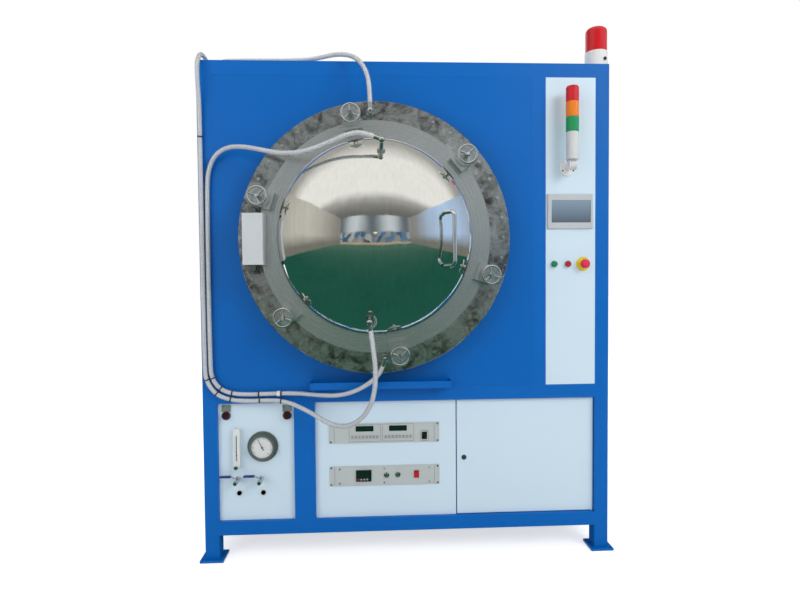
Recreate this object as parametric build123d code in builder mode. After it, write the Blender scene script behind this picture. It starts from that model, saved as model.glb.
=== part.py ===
from build123d import *
from math import asin, atan2, cos, degrees, pi, radians, sin, sqrt, tan
import os

# Vacuum sintering furnace, in millimetres, +Z up, standing on z = 0.
# The front looks towards -Y. The origin is under the middle of the whole furnace.
os.makedirs("parts", exist_ok=True)

# Fits
seat_gap = 0.3
run_fit = 0.05

# Frame of welded square tube
vessel_bay = 1370
control_bay = 220
gas_bay = 326.5
instrument_bay = 618
frame_height = 2140
frame_depth = 1500
tube = 60
tube_wall = 3
cap = 5
foot_side = 100
foot_thick = 10
anchor_radius = 6
anchor_inset = 12
bottom_rail_z = 110
mid_rail_z = 683
wide_post = 90
lath = 30

# Sheet-metal panels
sheet = 2
panel_fold = 15
low_recess = 15
door_gap = 3

# Vessel and its door
vessel_shift = 2
vessel_z = 1382
flange_proud = 90
flange_thick = 50
flange_radius = 562
bore_radius = 380
seal_gap = 2
seal_radius = 425
seal_section = 4.8
door_thick = 48
door_radius = 469
door_plate = 12
dome_radius = 392
dome_wall = 6
dome_skirt = 20
dome_crown = 520
dome_knuckle = 70
shell_wall = 8
machine_space = 490
jacket_space = 42
jacket_wall = 6
inner_crown = 650
inner_knuckle = 60
outer_crown = 700
outer_knuckle = 80

# Clamp screws round the door
clamp_count = 6
clamp_circle = 485
clamp_start = 41.1
lug_width = 72
lug_inner = 430
lug_proud = 38
lug_clear = 6
screw_radius = 8
wheel_radius = 40
wheel_rim = 4.5
wheel_hub = 13
wheel_depth = 44
spoke_radius = 3.5
spoke_count = 3

# Door hinge
hinge_reach = 490
hinge_ahead = 158
hinge_drop = 9.5
pin_radius = 12
barrel_radius = 20
ear_radius = 24
ear_thick = 22
cover_width = 81
cover_height = 201
cover_depth = 64.7
cover_left = 29

# Hot zone
lining = 80
lining_clear = 10
lining_plug = 285
plug_thick = 60
lining_start = 30
rod_radius = 7
rod_circle = 265
rod_pair = 35
rod_front = 150
bar_thick = 12
lead_radius = 12
lead_length = 240
sleeve_radius = 19.7
sleeve_inset = 90
feed_length = 110
hearth_width = 380
hearth_front = 270
hearth_rear = 50
hearth_drop = 170
hearth_thick = 20
post_x = 130
post_radius = 12

# Vacuum side
port_radius = 57
port_wall = 3
port_bend = 90
exhaust_radius = 25
exhaust_bore = 20
exhaust_reach = 40

# Hoses
hose_radius = 10

# Derived places
frame_width = vessel_bay + control_bay + 3 * tube
half_width = frame_width / 2
left_x = tube - half_width
divider_post_x = left_x + vessel_bay + tube / 2
wide_post_x = left_x + gas_bay + wide_post / 2
lath_x = wide_post_x + wide_post / 2 + instrument_bay
vessel_x = left_x + vessel_bay / 2 + vessel_shift
inner_x = half_width - tube - seat_gap
hinge_x = vessel_x - hinge_reach
hinge_z = vessel_z - hinge_drop
dome_depth = dome_crown - sqrt((dome_crown - dome_knuckle) ** 2 - (dome_radius - dome_knuckle) ** 2)
front_reach = flange_proud + seal_gap + door_thick + dome_skirt + dome_depth
front_y = (front_reach - exhaust_reach - frame_depth) / 2
rear_y = front_y + frame_depth
head_y = rear_y - machine_space
low_y = front_y + low_recess
flange_y = front_y - flange_proud
shell_y = flange_y + flange_thick
door_back_y = flange_y - seal_gap
door_y = door_back_y - door_thick
lug_y = door_y - lug_proud
hinge_y = front_y - hinge_ahead
crown_y = front_y - front_reach + dome_crown
bottom_top_z = bottom_rail_z + tube
mid_top_z = mid_rail_z + tube
top_rail_z = frame_height - tube
low_bottom = bottom_top_z + seat_gap
low_top = mid_rail_z - seat_gap
high_bottom = mid_top_z + seat_gap
high_top = top_rail_z - seat_gap
post_column = half_width - tube / 2
post_rows = (front_y + tube / 2, rear_y - tube / 2)
jacket_radius = bore_radius + shell_wall + jacket_space
vessel_plane = Plane(origin=(vessel_x, 0, vessel_z), x_dir=(1, 0, 0), z_dir=(0, 0, 1))
vessel_axis = Axis((vessel_x, 0, vessel_z), (0, 1, 0))


def facing(y):
    """A sketch plane whose x is X and y is Z; a positive extrusion comes towards the viewer."""
    return Plane(origin=(0, y, 0), x_dir=(1, 0, 0), z_dir=(0, -1, 0))


def middle(low, high):
    return (low + high) / 2


def head_points(radius, crown, knuckle, base, side):
    """Tangent point, arc middles and apex of a dished head that bulges to the given side."""
    depth = crown - sqrt((crown - knuckle) ** 2 - (radius - knuckle) ** 2)
    lean = asin((radius - knuckle) / (crown - knuckle))
    centre = base + side * (depth - crown)
    bend = middle(lean, pi / 2)
    knuckle_mid = (radius - knuckle + knuckle * sin(bend), base + side * knuckle * cos(bend))
    join = (crown * sin(lean), centre + side * crown * cos(lean))
    crown_mid = (crown * sin(lean / 2), centre + side * crown * cos(lean / 2))
    apex = (0, centre + side * crown)
    return knuckle_mid, join, crown_mid, apex


def dished_shell(radius, wall, crown, knuckle, start, base, side):
    """A straight skirt that ends in a dished head, turned round the vessel's axis."""
    outer = head_points(radius, crown, knuckle, base, side)
    inner = head_points(radius - wall, crown - wall, knuckle - wall, base, side)
    with BuildPart() as shell:
        with BuildSketch(vessel_plane):
            with BuildLine():
                Polyline((radius - wall, base), (radius - wall, start), (radius, start), (radius, base))
                ThreePointArc((radius, base), outer[0], outer[1])
                ThreePointArc(outer[1], outer[2], outer[3])
                Line(outer[3], inner[3])
                ThreePointArc(inner[3], inner[2], inner[1])
                ThreePointArc(inner[1], inner[0], (radius - wall, base))
            make_face()
        revolve(axis=vessel_axis)
    return shell.part


def folded_panel(left, right, bottom, top, front, fold=panel_fold):
    """A sheet whose four edges are folded back."""
    wide, high = right - left, top - bottom
    with BuildPart() as panel:
        with BuildSketch(facing(front)):
            with Locations((middle(left, right), middle(bottom, top))):
                Rectangle(wide, high)
        extrude(amount=-fold)
        with BuildSketch(facing(front + sheet)):
            with Locations((middle(left, right), middle(bottom, top))):
                Rectangle(wide - 2 * sheet, high - 2 * sheet)
        extrude(amount=-fold, mode=Mode.SUBTRACT)
    return panel.part


def turned(points, plane, axis):
    """A solid of revolution from its half profile (radius, y)."""
    with BuildPart() as solid:
        with BuildSketch(plane):
            with BuildLine():
                Polyline(*points, close=True)
            make_face()
        revolve(axis=axis)
    return solid.part


def spindle(x, z):
    """The sketch plane and the axis of something turned about a line along Y."""
    plane = Plane(origin=(x, 0, z), x_dir=(1, 0, 0), z_dir=(0, 0, 1))
    return plane, Axis((x, 0, z), (0, 1, 0))


# Frame posts: four corner posts, the wide lower post, the upper divider and the thin lath
with BuildPart() as frame_posts:
    with BuildSketch(Plane.XY.offset(foot_thick)):
        with Locations(*[(side * post_column, row) for side in (-1, 1) for row in post_rows]):
            Rectangle(tube, tube)
    extrude(amount=frame_height - foot_thick)
    with BuildSketch(Plane.XY.offset(foot_thick)):
        with Locations(*[(side * post_column, row) for side in (-1, 1) for row in post_rows]):
            Rectangle(tube - 2 * tube_wall, tube - 2 * tube_wall)
    extrude(amount=frame_height - foot_thick - cap, mode=Mode.SUBTRACT)
    with BuildSketch(Plane.XY.offset(bottom_top_z)):
        with Locations((wide_post_x, post_rows[0])):
            Rectangle(wide_post, tube)
            Rectangle(wide_post - 2 * tube_wall, tube - 2 * tube_wall, mode=Mode.SUBTRACT)
        with Locations((lath_x, front_y + low_recess + panel_fold + seat_gap + lath / 2)):
            Rectangle(lath, lath)
            Rectangle(lath - 2 * tube_wall, lath - 2 * tube_wall, mode=Mode.SUBTRACT)
    extrude(amount=mid_rail_z - bottom_top_z)
    with BuildSketch(Plane.XY.offset(mid_top_z)):
        with Locations((divider_post_x, post_rows[0])):
            Rectangle(tube, tube)
            Rectangle(tube - 2 * tube_wall, tube - 2 * tube_wall, mode=Mode.SUBTRACT)
    extrude(amount=top_rail_z - mid_top_z)
frame_posts.part.label = "frame_posts"
export_step(frame_posts.part, "parts/frame_posts.step")

# Frame rails: front, rear and side rails at three levels, with the cabinet door's pin holes
hinge_pin_x = inner_x - 2 * door_gap - 0.7
hinge_pin_y = low_y + 4
hinge_pin_radius = 4
rail_levels = (bottom_rail_z, mid_rail_z, top_rail_z)
with BuildPart() as frame_rails:
    for level in rail_levels:
        with BuildSketch(Plane.YZ.offset(tube - half_width)):
            with Locations(*[(row, level + tube / 2) for row in post_rows]):
                Rectangle(tube, tube)
                Rectangle(tube - 2 * tube_wall, tube - 2 * tube_wall, mode=Mode.SUBTRACT)
        extrude(amount=frame_width - 2 * tube)
        with BuildSketch(facing(front_y + tube)):
            with Locations((-post_column, level + tube / 2), (post_column, level + tube / 2)):
                Rectangle(tube, tube)
                Rectangle(tube - 2 * tube_wall, tube - 2 * tube_wall, mode=Mode.SUBTRACT)
        extrude(amount=2 * tube - frame_depth)
    with BuildSketch(Plane.XY.offset(bottom_top_z - tube_wall)):
        with Locations((hinge_pin_x, hinge_pin_y)):
            Circle(hinge_pin_radius + run_fit)
    extrude(amount=mid_rail_z - bottom_top_z + 2 * tube_wall, mode=Mode.SUBTRACT)
frame_rails.part.label = "frame_rails"
export_step(frame_rails.part, "parts/frame_rails.step")

# Foot plates with one anchor hole each, at the outer corner
anchor = foot_side / 2 - anchor_inset
with BuildPart() as foot_plates:
    with BuildSketch():
        for side in (-1, 1):
            for row, out in zip(post_rows, (-1, 1)):
                with Locations((side * post_column, row)):
                    Rectangle(foot_side, foot_side)
                with Locations((side * (post_column + anchor), row + out * anchor)):
                    Circle(anchor_radius, mode=Mode.SUBTRACT)
    extrude(amount=foot_thick)
foot_plates.part.label = "foot_plates"
export_step(foot_plates.part, "parts/foot_plates.step")

# Blue front panel with the vessel's opening
panel_right = divider_post_x - tube / 2 - seat_gap
with BuildPart() as front_panel:
    add(folded_panel(-inner_x, panel_right, high_bottom, high_top, front_y))
    with BuildSketch(facing(front_y)):
        with Locations((vessel_x, vessel_z)):
            Circle(jacket_radius + jacket_wall + 6)
    extrude(amount=-sheet, mode=Mode.SUBTRACT)
front_panel.part.label = "front_panel"
export_step(front_panel.part, "parts/front_panel.step")

# Drip ledge below the vessel: a trough of bent sheet, open at the back
ledge_width = 600
ledge_reach = 60
ledge_height = 30
ledge_x = vessel_x + 17
ledge_z = mid_top_z + 4
with BuildPart() as drip_ledge:
    with BuildSketch(Plane.XY.offset(ledge_z)):
        with Locations((ledge_x, front_y - seat_gap - ledge_reach / 2)):
            Rectangle(ledge_width, ledge_reach)
    extrude(amount=ledge_height)
    front_edges = drip_ledge.edges().filter_by(Axis.Z).group_by(Axis.Y)[0]
    fillet(front_edges, 6)
    offset(amount=-sheet, openings=[
        drip_ledge.faces().sort_by(Axis.Z)[-1], drip_ledge.faces().sort_by(Axis.Y)[-1]])
drip_ledge.part.label = "drip_ledge"
export_step(drip_ledge.part, "parts/drip_ledge.step")

# Control panel with the openings for what it carries
control_left = divider_post_x + tube / 2 + seat_gap
control_x = middle(control_left, inner_x)
screen_x = control_x - 3.5
screen_z = 1501.5
screen_width = 200.5
screen_height = 151
screen_body = 10
button_z = 1273
green_x = control_x - 74
red_x = control_x - 13
stop_x = control_x + 56
collar_bore = 11.4
with BuildPart() as control_panel:
    add(folded_panel(control_left, inner_x, high_bottom, high_top, front_y))
    with BuildSketch(facing(front_y)):
        with Locations((screen_x, screen_z)):
            Rectangle(screen_width - screen_body + 2, screen_height - screen_body + 2)
        with Locations((green_x, button_z), (red_x, button_z), (stop_x, button_z)):
            Circle(collar_bore)
    extrude(amount=-sheet, mode=Mode.SUBTRACT)
control_panel.part.label = "control_panel"
export_step(control_panel.part, "parts/control_panel.step")

# Valve panel with its two latch plates and the holes for gauge, ports and latches
gauge_x = left_x + 190
gauge_z = 492
gauge_case_radius = 50
port_places = ((left_x + 86, 290), (left_x + 189, 290))
port_stub = 8
gas_panel_right = wide_post_x - wide_post / 2 - seat_gap
latch_places = ((left_x + 36, low_top - 53), (gas_panel_right - 30, low_top - 56))
latch_width = 40
latch_rise = 46
latch_plate = 4
latch_shaft = 4
with BuildPart() as valve_panel:
    add(folded_panel(-inner_x, gas_panel_right, low_bottom, low_top, low_y))
    with BuildSketch(facing(low_y)):
        for x, z in latch_places:
            with Locations((x, z)):
                Circle(latch_width / 2)
            with Locations((x, z + latch_rise / 2)):
                Rectangle(latch_width, latch_rise)
    extrude(amount=latch_plate)
    with BuildSketch(facing(low_y - latch_plate)):
        with Locations(*latch_places):
            Circle(latch_shaft + run_fit)
        with Locations(*port_places):
            Circle(port_stub + seat_gap)
        with Locations((gauge_x, gauge_z)):
            Circle(gauge_case_radius + seat_gap)
    extrude(amount=-latch_plate - sheet, mode=Mode.SUBTRACT)
valve_panel.part.label = "valve_panel"
export_step(valve_panel.part, "parts/valve_panel.step")

# Instrument panel with the two rack cut-outs
rack_margin = 59.5
rack_width = 482.6
rack_x = wide_post_x + wide_post / 2 + rack_margin + rack_width / 2
rack_height = 88.1
rack_tops = (584, 396)
rack_case_width = 430
rack_case_height = 84
rack_places = [(rack_x, top - rack_height / 2) for top in rack_tops]
seam = 5
instrument_right = lath_x - seam / 2
with BuildPart() as instrument_panel:
    add(folded_panel(wide_post_x + wide_post / 2 + seat_gap, instrument_right, low_bottom, low_top, low_y))
    with BuildSketch(facing(low_y)):
        with Locations(*rack_places):
            Rectangle(rack_case_width + 2 * seat_gap, rack_case_height + 2 * seat_gap)
    extrude(amount=-sheet, mode=Mode.SUBTRACT)
instrument_panel.part.label = "instrument_panel"
export_step(instrument_panel.part, "parts/instrument_panel.step")

# Side panels, roof, and rear panels with cooling slots and the hole for the pump's exhaust
side_length = frame_depth - 2 * tube - 2 * seat_gap
side_middle = middle(front_y, rear_y)
pump_x = vessel_x
pump_y = rear_y - 130
exhaust_z = 330
slot_length = 160
slot_height = 10
slot_drop = 120
panel_levels = ((low_bottom, low_top), (high_bottom, high_top))
with BuildPart() as cladding_panels:
    for side in (-1, 1):
        with BuildSketch(Plane.YZ.offset(side * (half_width - sheet / 2))):
            for low, high in panel_levels:
                with Locations((side_middle, middle(low, high))):
                    Rectangle(side_length, high - low)
        extrude(amount=sheet / 2, both=True)
    with BuildSketch(Plane.XY.offset(frame_height - sheet)):
        with Locations((0, side_middle)):
            Rectangle(2 * inner_x, side_length)
    extrude(amount=sheet)
    with BuildSketch(facing(rear_y)):
        for low, high in panel_levels:
            with Locations((0, middle(low, high))):
                Rectangle(2 * inner_x, high - low)
            with Locations((0, high - slot_drop)):
                with GridLocations(2 * inner_x - 3 * slot_length, 4 * slot_height, 2, 3):
                    SlotOverall(slot_length, slot_height, mode=Mode.SUBTRACT)
        with Locations((pump_x, exhaust_z)):
            Circle(exhaust_radius + seat_gap, mode=Mode.SUBTRACT)
    extrude(amount=sheet)
cladding_panels.part.label = "cladding_panels"
export_step(cladding_panels.part, "parts/cladding_panels.step")

# Floor tray between the bottom rails, with a folded rim
tray_z = bottom_top_z - 20
tray_thick = 4
with BuildPart() as floor_tray:
    with BuildSketch(Plane.XY.offset(tray_z)):
        with Locations((0, side_middle)):
            Rectangle(2 * inner_x, side_length)
    extrude(amount=bottom_top_z - tray_z)
    with BuildSketch(Plane.XY.offset(tray_z + tray_thick)):
        with Locations((0, side_middle)):
            Rectangle(2 * inner_x - 2 * tray_thick, side_length - 2 * tray_thick)
    extrude(amount=bottom_top_z - tray_z, mode=Mode.SUBTRACT)
floor_tray.part.label = "floor_tray"
export_step(floor_tray.part, "parts/floor_tray.step")
tray_top = tray_z + tray_thick

# Vessel cradle: two cross beams, each with a saddle cut to the jacket
saddle_inset = 190
saddle_rows = (shell_y + saddle_inset, head_y - saddle_inset)
saddle_half = 380
saddle_top = mid_top_z + 350
saddle_plate = 20
with BuildPart() as vessel_cradle:
    for row in saddle_rows:
        with BuildSketch(Plane.YZ.offset(-inner_x)):
            with Locations((row, mid_rail_z + tube / 2)):
                Rectangle(tube, tube)
        extrude(amount=2 * inner_x)
        with BuildSketch(facing(row + saddle_plate / 2)):
            with BuildLine():
                Polyline(
                    (vessel_x - saddle_half, mid_top_z), (vessel_x + saddle_half, mid_top_z),
                    (vessel_x + saddle_half, saddle_top), (vessel_x - saddle_half, saddle_top), close=True)
            make_face()
            with Locations((vessel_x, vessel_z)):
                Circle(jacket_radius + jacket_wall + seat_gap, mode=Mode.SUBTRACT)
        extrude(amount=saddle_plate)
vessel_cradle.part.label = "vessel_cradle"
export_step(vessel_cradle.part, "parts/vessel_cradle.step")

# Body flange with the groove of the door seal
groove_half = seal_section + 0.2
groove_depth = 2 * seal_section - seal_gap + 0.6
with BuildPart() as body_flange:
    with BuildSketch(facing(shell_y)):
        with Locations((vessel_x, vessel_z)):
            Circle(flange_radius)
            Circle(bore_radius, mode=Mode.SUBTRACT)
    extrude(amount=flange_thick)
    chamfer(body_flange.edges().filter_by(GeomType.CIRCLE).group_by(Axis.Y)[0].sort_by(SortBy.RADIUS)[-1], 3)
    with BuildSketch(facing(flange_y)):
        with Locations((vessel_x, vessel_z)):
            Circle(seal_radius + groove_half)
            Circle(seal_radius - groove_half, mode=Mode.SUBTRACT)
    extrude(amount=-groove_depth, mode=Mode.SUBTRACT)
body_flange.part.label = "body_flange"
export_step(body_flange.part, "parts/body_flange.step")

# Door seal: an O-ring in that groove, just clear of the door
seal_y = flange_y + groove_depth - seal_section - 0.2
with BuildPart() as door_seal:
    with BuildSketch(vessel_plane):
        with Locations((seal_radius, seal_y)):
            Circle(seal_section)
    revolve(axis=vessel_axis)
door_seal.part.label = "door_seal"
export_step(door_seal.part, "parts/door_seal.step")

# Chamber shell and the cooling jacket round it, both with dished rear heads
lead_circle = sqrt(rod_circle ** 2 + rod_pair ** 2) * cos(radians(30) - atan2(rod_pair, rod_circle))
lead_angles = (60, 180, 300)
lead_places = [
    (vessel_x + lead_circle * cos(radians(a)), vessel_z + lead_circle * sin(radians(a))) for a in lead_angles]
with BuildPart() as chamber_shell:
    add(dished_shell(bore_radius + shell_wall, shell_wall, inner_crown, inner_knuckle, shell_y, head_y, 1))
    with BuildSketch(facing(head_y)):
        with Locations((vessel_x, vessel_z)):
            Circle(port_radius + seat_gap)
        with Locations(*lead_places):
            Circle(sleeve_radius + seat_gap)
    extrude(amount=-inner_crown, mode=Mode.SUBTRACT)
chamber_shell.part.label = "chamber_shell"
export_step(chamber_shell.part, "parts/chamber_shell.step")

with BuildPart() as cooling_jacket:
    add(dished_shell(jacket_radius + jacket_wall, jacket_wall, outer_crown, outer_knuckle, shell_y, head_y, 1))
    with BuildSketch(facing(shell_y)):
        with Locations((vessel_x, vessel_z)):
            Circle(jacket_radius + jacket_wall / 2)
            Circle(bore_radius + shell_wall + seat_gap, mode=Mode.SUBTRACT)
    extrude(amount=-2 * jacket_wall)
    with BuildSketch(facing(head_y)):
        with Locations((vessel_x, vessel_z)):
            Circle(port_radius + seat_gap)
        with Locations(*lead_places):
            Circle(sleeve_radius + seat_gap)
    extrude(amount=-outer_crown, mode=Mode.SUBTRACT)
cooling_jacket.part.label = "cooling_jacket"
export_step(cooling_jacket.part, "parts/cooling_jacket.step")

# Insulation: a cup inside the shell, with holes for the heating rods and for pumping
lining_y = front_y - lining_start
lining_back = head_y - 20
lining_inner = bore_radius - lining
rod_angles = [30 + 60 * step for step in range(6)]


def rod_places():
    """Both legs of every hairpin, in the plane across the vessel."""
    places = []
    for angle in rod_angles:
        turn = radians(angle)
        for side in (-rod_pair, rod_pair):
            x = vessel_x + rod_circle * cos(turn) - side * sin(turn)
            z = vessel_z + rod_circle * sin(turn) + side * cos(turn)
            places.append((x, z))
    return places


with BuildPart() as insulation:
    with BuildSketch(facing(lining_back)):
        with Locations((vessel_x, vessel_z)):
            Circle(bore_radius - seat_gap)
    extrude(amount=lining_back - lining_y)
    with BuildSketch(facing(lining_back - plug_thick)):
        with Locations((vessel_x, vessel_z)):
            Circle(lining_inner)
    extrude(amount=lining_back - lining_y, mode=Mode.SUBTRACT)
    with BuildSketch(facing(lining_back)):
        with Locations((vessel_x, vessel_z)):
            Circle(port_radius)
        with Locations(*rod_places()):
            Circle(rod_radius + seat_gap)
    extrude(amount=plug_thick, mode=Mode.SUBTRACT)
insulation.part.label = "insulation"
export_step(insulation.part, "parts/insulation.step")

# Heating elements: six hairpins that reach through the back of the insulation
rod_back = lining_back + 10
with BuildPart() as heating_elements:
    with BuildSketch(facing(rod_back)):
        with Locations(*rod_places()):
            Circle(rod_radius)
    extrude(amount=rod_back - front_y - rod_front)
    for angle in rod_angles:
        turn = radians(angle)
        out = (cos(turn), 0, sin(turn))
        along = (-sin(turn), 0, cos(turn))
        centre = Vector(vessel_x, front_y + rod_front, vessel_z) + Vector(*out) * rod_circle
        with BuildSketch(Plane(origin=centre, x_dir=along, z_dir=(0, 1, 0))):
            with Locations((rod_pair, 0)):
                Circle(rod_radius)
        revolve(axis=Axis(centre, out), revolution_arc=180)
heating_elements.part.label = "heating_elements"
export_step(heating_elements.part, "parts/heating_elements.step")

# Power leads: bars that join the hairpins' ends, three leads and their sleeves through both heads
bar_y = rod_back + seat_gap
bar_length = 2 * lead_circle * tan(radians(30)) - 2 * rod_pair + 3 * rod_radius
with BuildPart() as power_leads:
    with BuildSketch(facing(bar_y + bar_thick)):
        with Locations(Location((vessel_x, vessel_z))):
            with PolarLocations(lead_circle, 6):
                Rectangle(3 * rod_radius, bar_length)
    extrude(amount=bar_thick)
    with BuildSketch(facing(bar_y + bar_thick)):
        with Locations(*lead_places):
            Circle(lead_radius)
    extrude(amount=-lead_length)
    with BuildSketch(facing(bar_y + sleeve_inset)):
        with Locations(*lead_places):
            Circle(sleeve_radius)
            Circle(lead_radius + seat_gap, mode=Mode.SUBTRACT)
    extrude(amount=-feed_length)
power_leads.part.label = "power_leads"
export_step(power_leads.part, "parts/power_leads.step")

# Hearth plate on four posts
hearth_y = lining_y + hearth_front
hearth_length = lining_back - plug_thick - hearth_rear - hearth_y
post_drop = sqrt(lining_inner ** 2 - (post_x + post_radius) ** 2) - seat_gap
with BuildPart() as hearth:
    with BuildSketch(Plane.XY.offset(vessel_z - hearth_drop)):
        with Locations((vessel_x, hearth_y + hearth_length / 2)):
            RectangleRounded(hearth_width, hearth_length, 10)
    extrude(amount=-hearth_thick)
    with BuildSketch(Plane.XY.offset(vessel_z - hearth_drop - hearth_thick)):
        with Locations((vessel_x, hearth_y + hearth_length / 2)):
            with GridLocations(2 * post_x, hearth_length - 120, 2, 2):
                Circle(post_radius)
    extrude(amount=hearth_drop + hearth_thick - post_drop)
hearth.part.label = "hearth"
export_step(hearth.part, "parts/hearth.step")

# Vacuum pump: port and bent line from the vessel, inlet flange, pump body, motor, exhaust
port_start = head_y + 110
port_flange_radius = 90
line_drop = 500
pump_width = 260
pump_length = 270
pump_height = 250
motor_radius = 90
motor_length = 250
with BuildPart() as vacuum_pump:
    with BuildLine() as line_path:
        FilletPolyline(
            (vessel_x, port_start, vessel_z), (vessel_x, pump_y, vessel_z), (vessel_x, pump_y, line_drop),
            radius=port_bend)
    with BuildSketch(Plane(origin=line_path.line @ 0, z_dir=line_path.line % 0)):
        Circle(port_radius)
        Circle(port_radius - port_wall, mode=Mode.SUBTRACT)
    sweep()
    with BuildSketch(Plane.XY.offset(line_drop)):
        with Locations((pump_x, pump_y)):
            Circle(port_flange_radius)
    extrude(amount=-20)
    with BuildSketch(Plane.XY.offset(tray_top + pump_height)):
        with Locations((pump_x, pump_y)):
            Circle(port_radius)
    extrude(amount=line_drop - tray_top - pump_height - 20)
    with BuildSketch(Plane.XY.offset(tray_top)):
        with Locations((pump_x, pump_y - 75)):
            Rectangle(pump_width, pump_length)
    extrude(amount=pump_height)
    fillet(vacuum_pump.edges().filter_by(Axis.X).group_by(Axis.Z)[-1], 25)
    with BuildSketch(Plane.YZ.offset(pump_x + pump_width / 2)):
        with Locations((pump_y - 75, tray_top + motor_radius + 20)):
            Circle(motor_radius)
    extrude(amount=motor_length)
    with BuildSketch(facing(rear_y + exhaust_reach)):
        with Locations((pump_x, exhaust_z)):
            Circle(exhaust_radius)
    extrude(amount=rear_y + exhaust_reach - pump_y)
    with BuildSketch(facing(rear_y + exhaust_reach)):
        with Locations((pump_x, exhaust_z)):
            Circle(exhaust_bore)
    extrude(amount=80, mode=Mode.SUBTRACT)
vacuum_pump.part.label = "vacuum_pump"
export_step(vacuum_pump.part, "parts/vacuum_pump.step")

# Power transformer: a laminated core with three coils
core_x = middle(lath_x, inner_x)
core_y = side_middle - 100
core_width = 420
core_height = 320
core_depth = 90
limb = 60
coil_radius = 62
with BuildPart() as power_transformer:
    with BuildSketch(facing(core_y + core_depth / 2)):
        with Locations((core_x, tray_top + core_height / 2)):
            Rectangle(core_width, core_height)
        with Locations((core_x, tray_top + core_height / 2)):
            with GridLocations((core_width - limb) / 2, 1, 2, 1):
                Rectangle((core_width - 3 * limb) / 2, core_height - 2 * limb, mode=Mode.SUBTRACT)
    extrude(amount=core_depth)
    with BuildSketch(Plane.XY.offset(tray_top + limb)):
        with Locations((core_x, core_y)):
            with GridLocations((core_width - limb) / 2, 1, 3, 1):
                Circle(coil_radius)
    extrude(amount=core_height - 2 * limb)
power_transformer.part.label = "power_transformer"
export_step(power_transformer.part, "parts/power_transformer.step")

# Door flange: a thick ring with a back plate, fused with the six clamp lugs
clamp_angles = [clamp_start + 360 / clamp_count * step for step in range(clamp_count)]
clamp_places = [
    (vessel_x + clamp_circle * cos(radians(a)), vessel_z + clamp_circle * sin(radians(a))) for a in clamp_angles]
ring_inner = dome_radius - 32
with BuildPart() as door_flange:
    with BuildSketch(facing(door_back_y)):
        with Locations((vessel_x, vessel_z)):
            Circle(door_radius)
    extrude(amount=door_thick)
    with BuildSketch(facing(door_back_y)):
        with Locations((vessel_x, vessel_z)):
            Circle(ring_inner)
    extrude(amount=door_plate, mode=Mode.SUBTRACT)
    with BuildSketch(facing(door_y + door_plate)):
        with Locations((vessel_x, vessel_z)):
            Circle(ring_inner)
    extrude(amount=door_plate, mode=Mode.SUBTRACT)
    with BuildSketch(facing(flange_y - lug_clear)):
        with Locations(Location((vessel_x, vessel_z))):
            with PolarLocations(0, clamp_count, start_angle=clamp_start):
                with Locations((clamp_circle, 0)):
                    Circle(lug_width / 2)
                with Locations((middle(lug_inner, clamp_circle), 0)):
                    Rectangle(clamp_circle - lug_inner, lug_width)
    extrude(amount=flange_y - lug_clear - lug_y)
    with BuildSketch(facing(door_back_y)):
        with Locations(*clamp_places):
            Circle(screw_radius + run_fit)
    extrude(amount=2 * (door_back_y - lug_y), both=True, mode=Mode.SUBTRACT)
door_flange.part.label = "door_flange"
export_step(door_flange.part, "parts/door_flange.step")

# Dished door
dome_base = door_y - dome_skirt
with BuildPart() as door_dome:
    add(dished_shell(dome_radius, dome_wall, dome_crown, dome_knuckle, door_y, dome_base, -1))
door_dome.part.label = "door_dome"
export_step(door_dome.part, "parts/door_dome.step")

# Door handle: a bent rod that stands on the dome
handle_rod = 8
handle_span = 204
handle_bar_x = vessel_x + 295
handle_bar_z = vessel_z - 22
handle_root_x = vessel_x + 262
handle_bar_y = crown_y - sqrt(dome_crown ** 2 - (handle_bar_x - vessel_x) ** 2) - 52
handle_root_y = crown_y - sqrt(dome_crown ** 2 - (handle_root_x - vessel_x) ** 2) + 8
handle_low, handle_high = handle_bar_z - handle_span / 2, handle_bar_z + handle_span / 2
with BuildPart() as door_handle:
    with BuildLine() as handle_path:
        FilletPolyline(
            (handle_root_x, handle_root_y, handle_low), (handle_bar_x, handle_bar_y, handle_low),
            (handle_bar_x, handle_bar_y, handle_high), (handle_root_x, handle_root_y, handle_high),
            radius=2.5 * handle_rod)
    with BuildSketch(Plane(origin=handle_path.line @ 0, z_dir=handle_path.line % 0)):
        Circle(handle_rod)
    sweep()
    with Locations((vessel_x, crown_y, vessel_z)):
        Sphere(dome_crown + seat_gap, mode=Mode.SUBTRACT)
door_handle.part.label = "door_handle"
export_step(door_handle.part, "parts/door_handle.step")


# Insulation plug on the back of the door
with BuildPart() as door_insulation:
    with BuildSketch(facing(door_back_y - door_plate)):
        with Locations((vessel_x, vessel_z)):
            Circle(lining_plug)
    extrude(amount=-plug_thick)
    chamfer(door_insulation.edges().group_by(Axis.Y)[-1], 8)
door_insulation.part.label = "door_insulation"
export_step(door_insulation.part, "parts/door_insulation.step")

# Hinge bracket on the body flange: base plate, two ears and the pin
cover_low, cover_high = hinge_z - cover_height / 2, hinge_z + cover_height / 2
ear_low, ear_high = cover_low - 1 - ear_thick, cover_high + 1 + ear_thick
base_thick = 12
with BuildPart() as hinge_bracket:
    with BuildSketch(facing(flange_y)):
        with Locations((hinge_x - 6, hinge_z)):
            RectangleRounded(2 * ear_radius, ear_high - ear_low + 24, 8)
    extrude(amount=base_thick)
    for low in (ear_low, cover_high + 1):
        with BuildSketch(Plane.XY.offset(low)):
            with Locations((hinge_x, hinge_y)):
                Circle(ear_radius)
            with Locations((hinge_x, middle(hinge_y, flange_y))):
                Rectangle(1.5 * ear_radius, flange_y - hinge_y)
        extrude(amount=ear_thick)
    with BuildSketch(Plane.XY.offset(ear_low - 5)):
        with Locations((hinge_x, hinge_y)):
            Circle(pin_radius)
    extrude(amount=ear_high - ear_low + 10)
hinge_bracket.part.label = "hinge_bracket"
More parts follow.
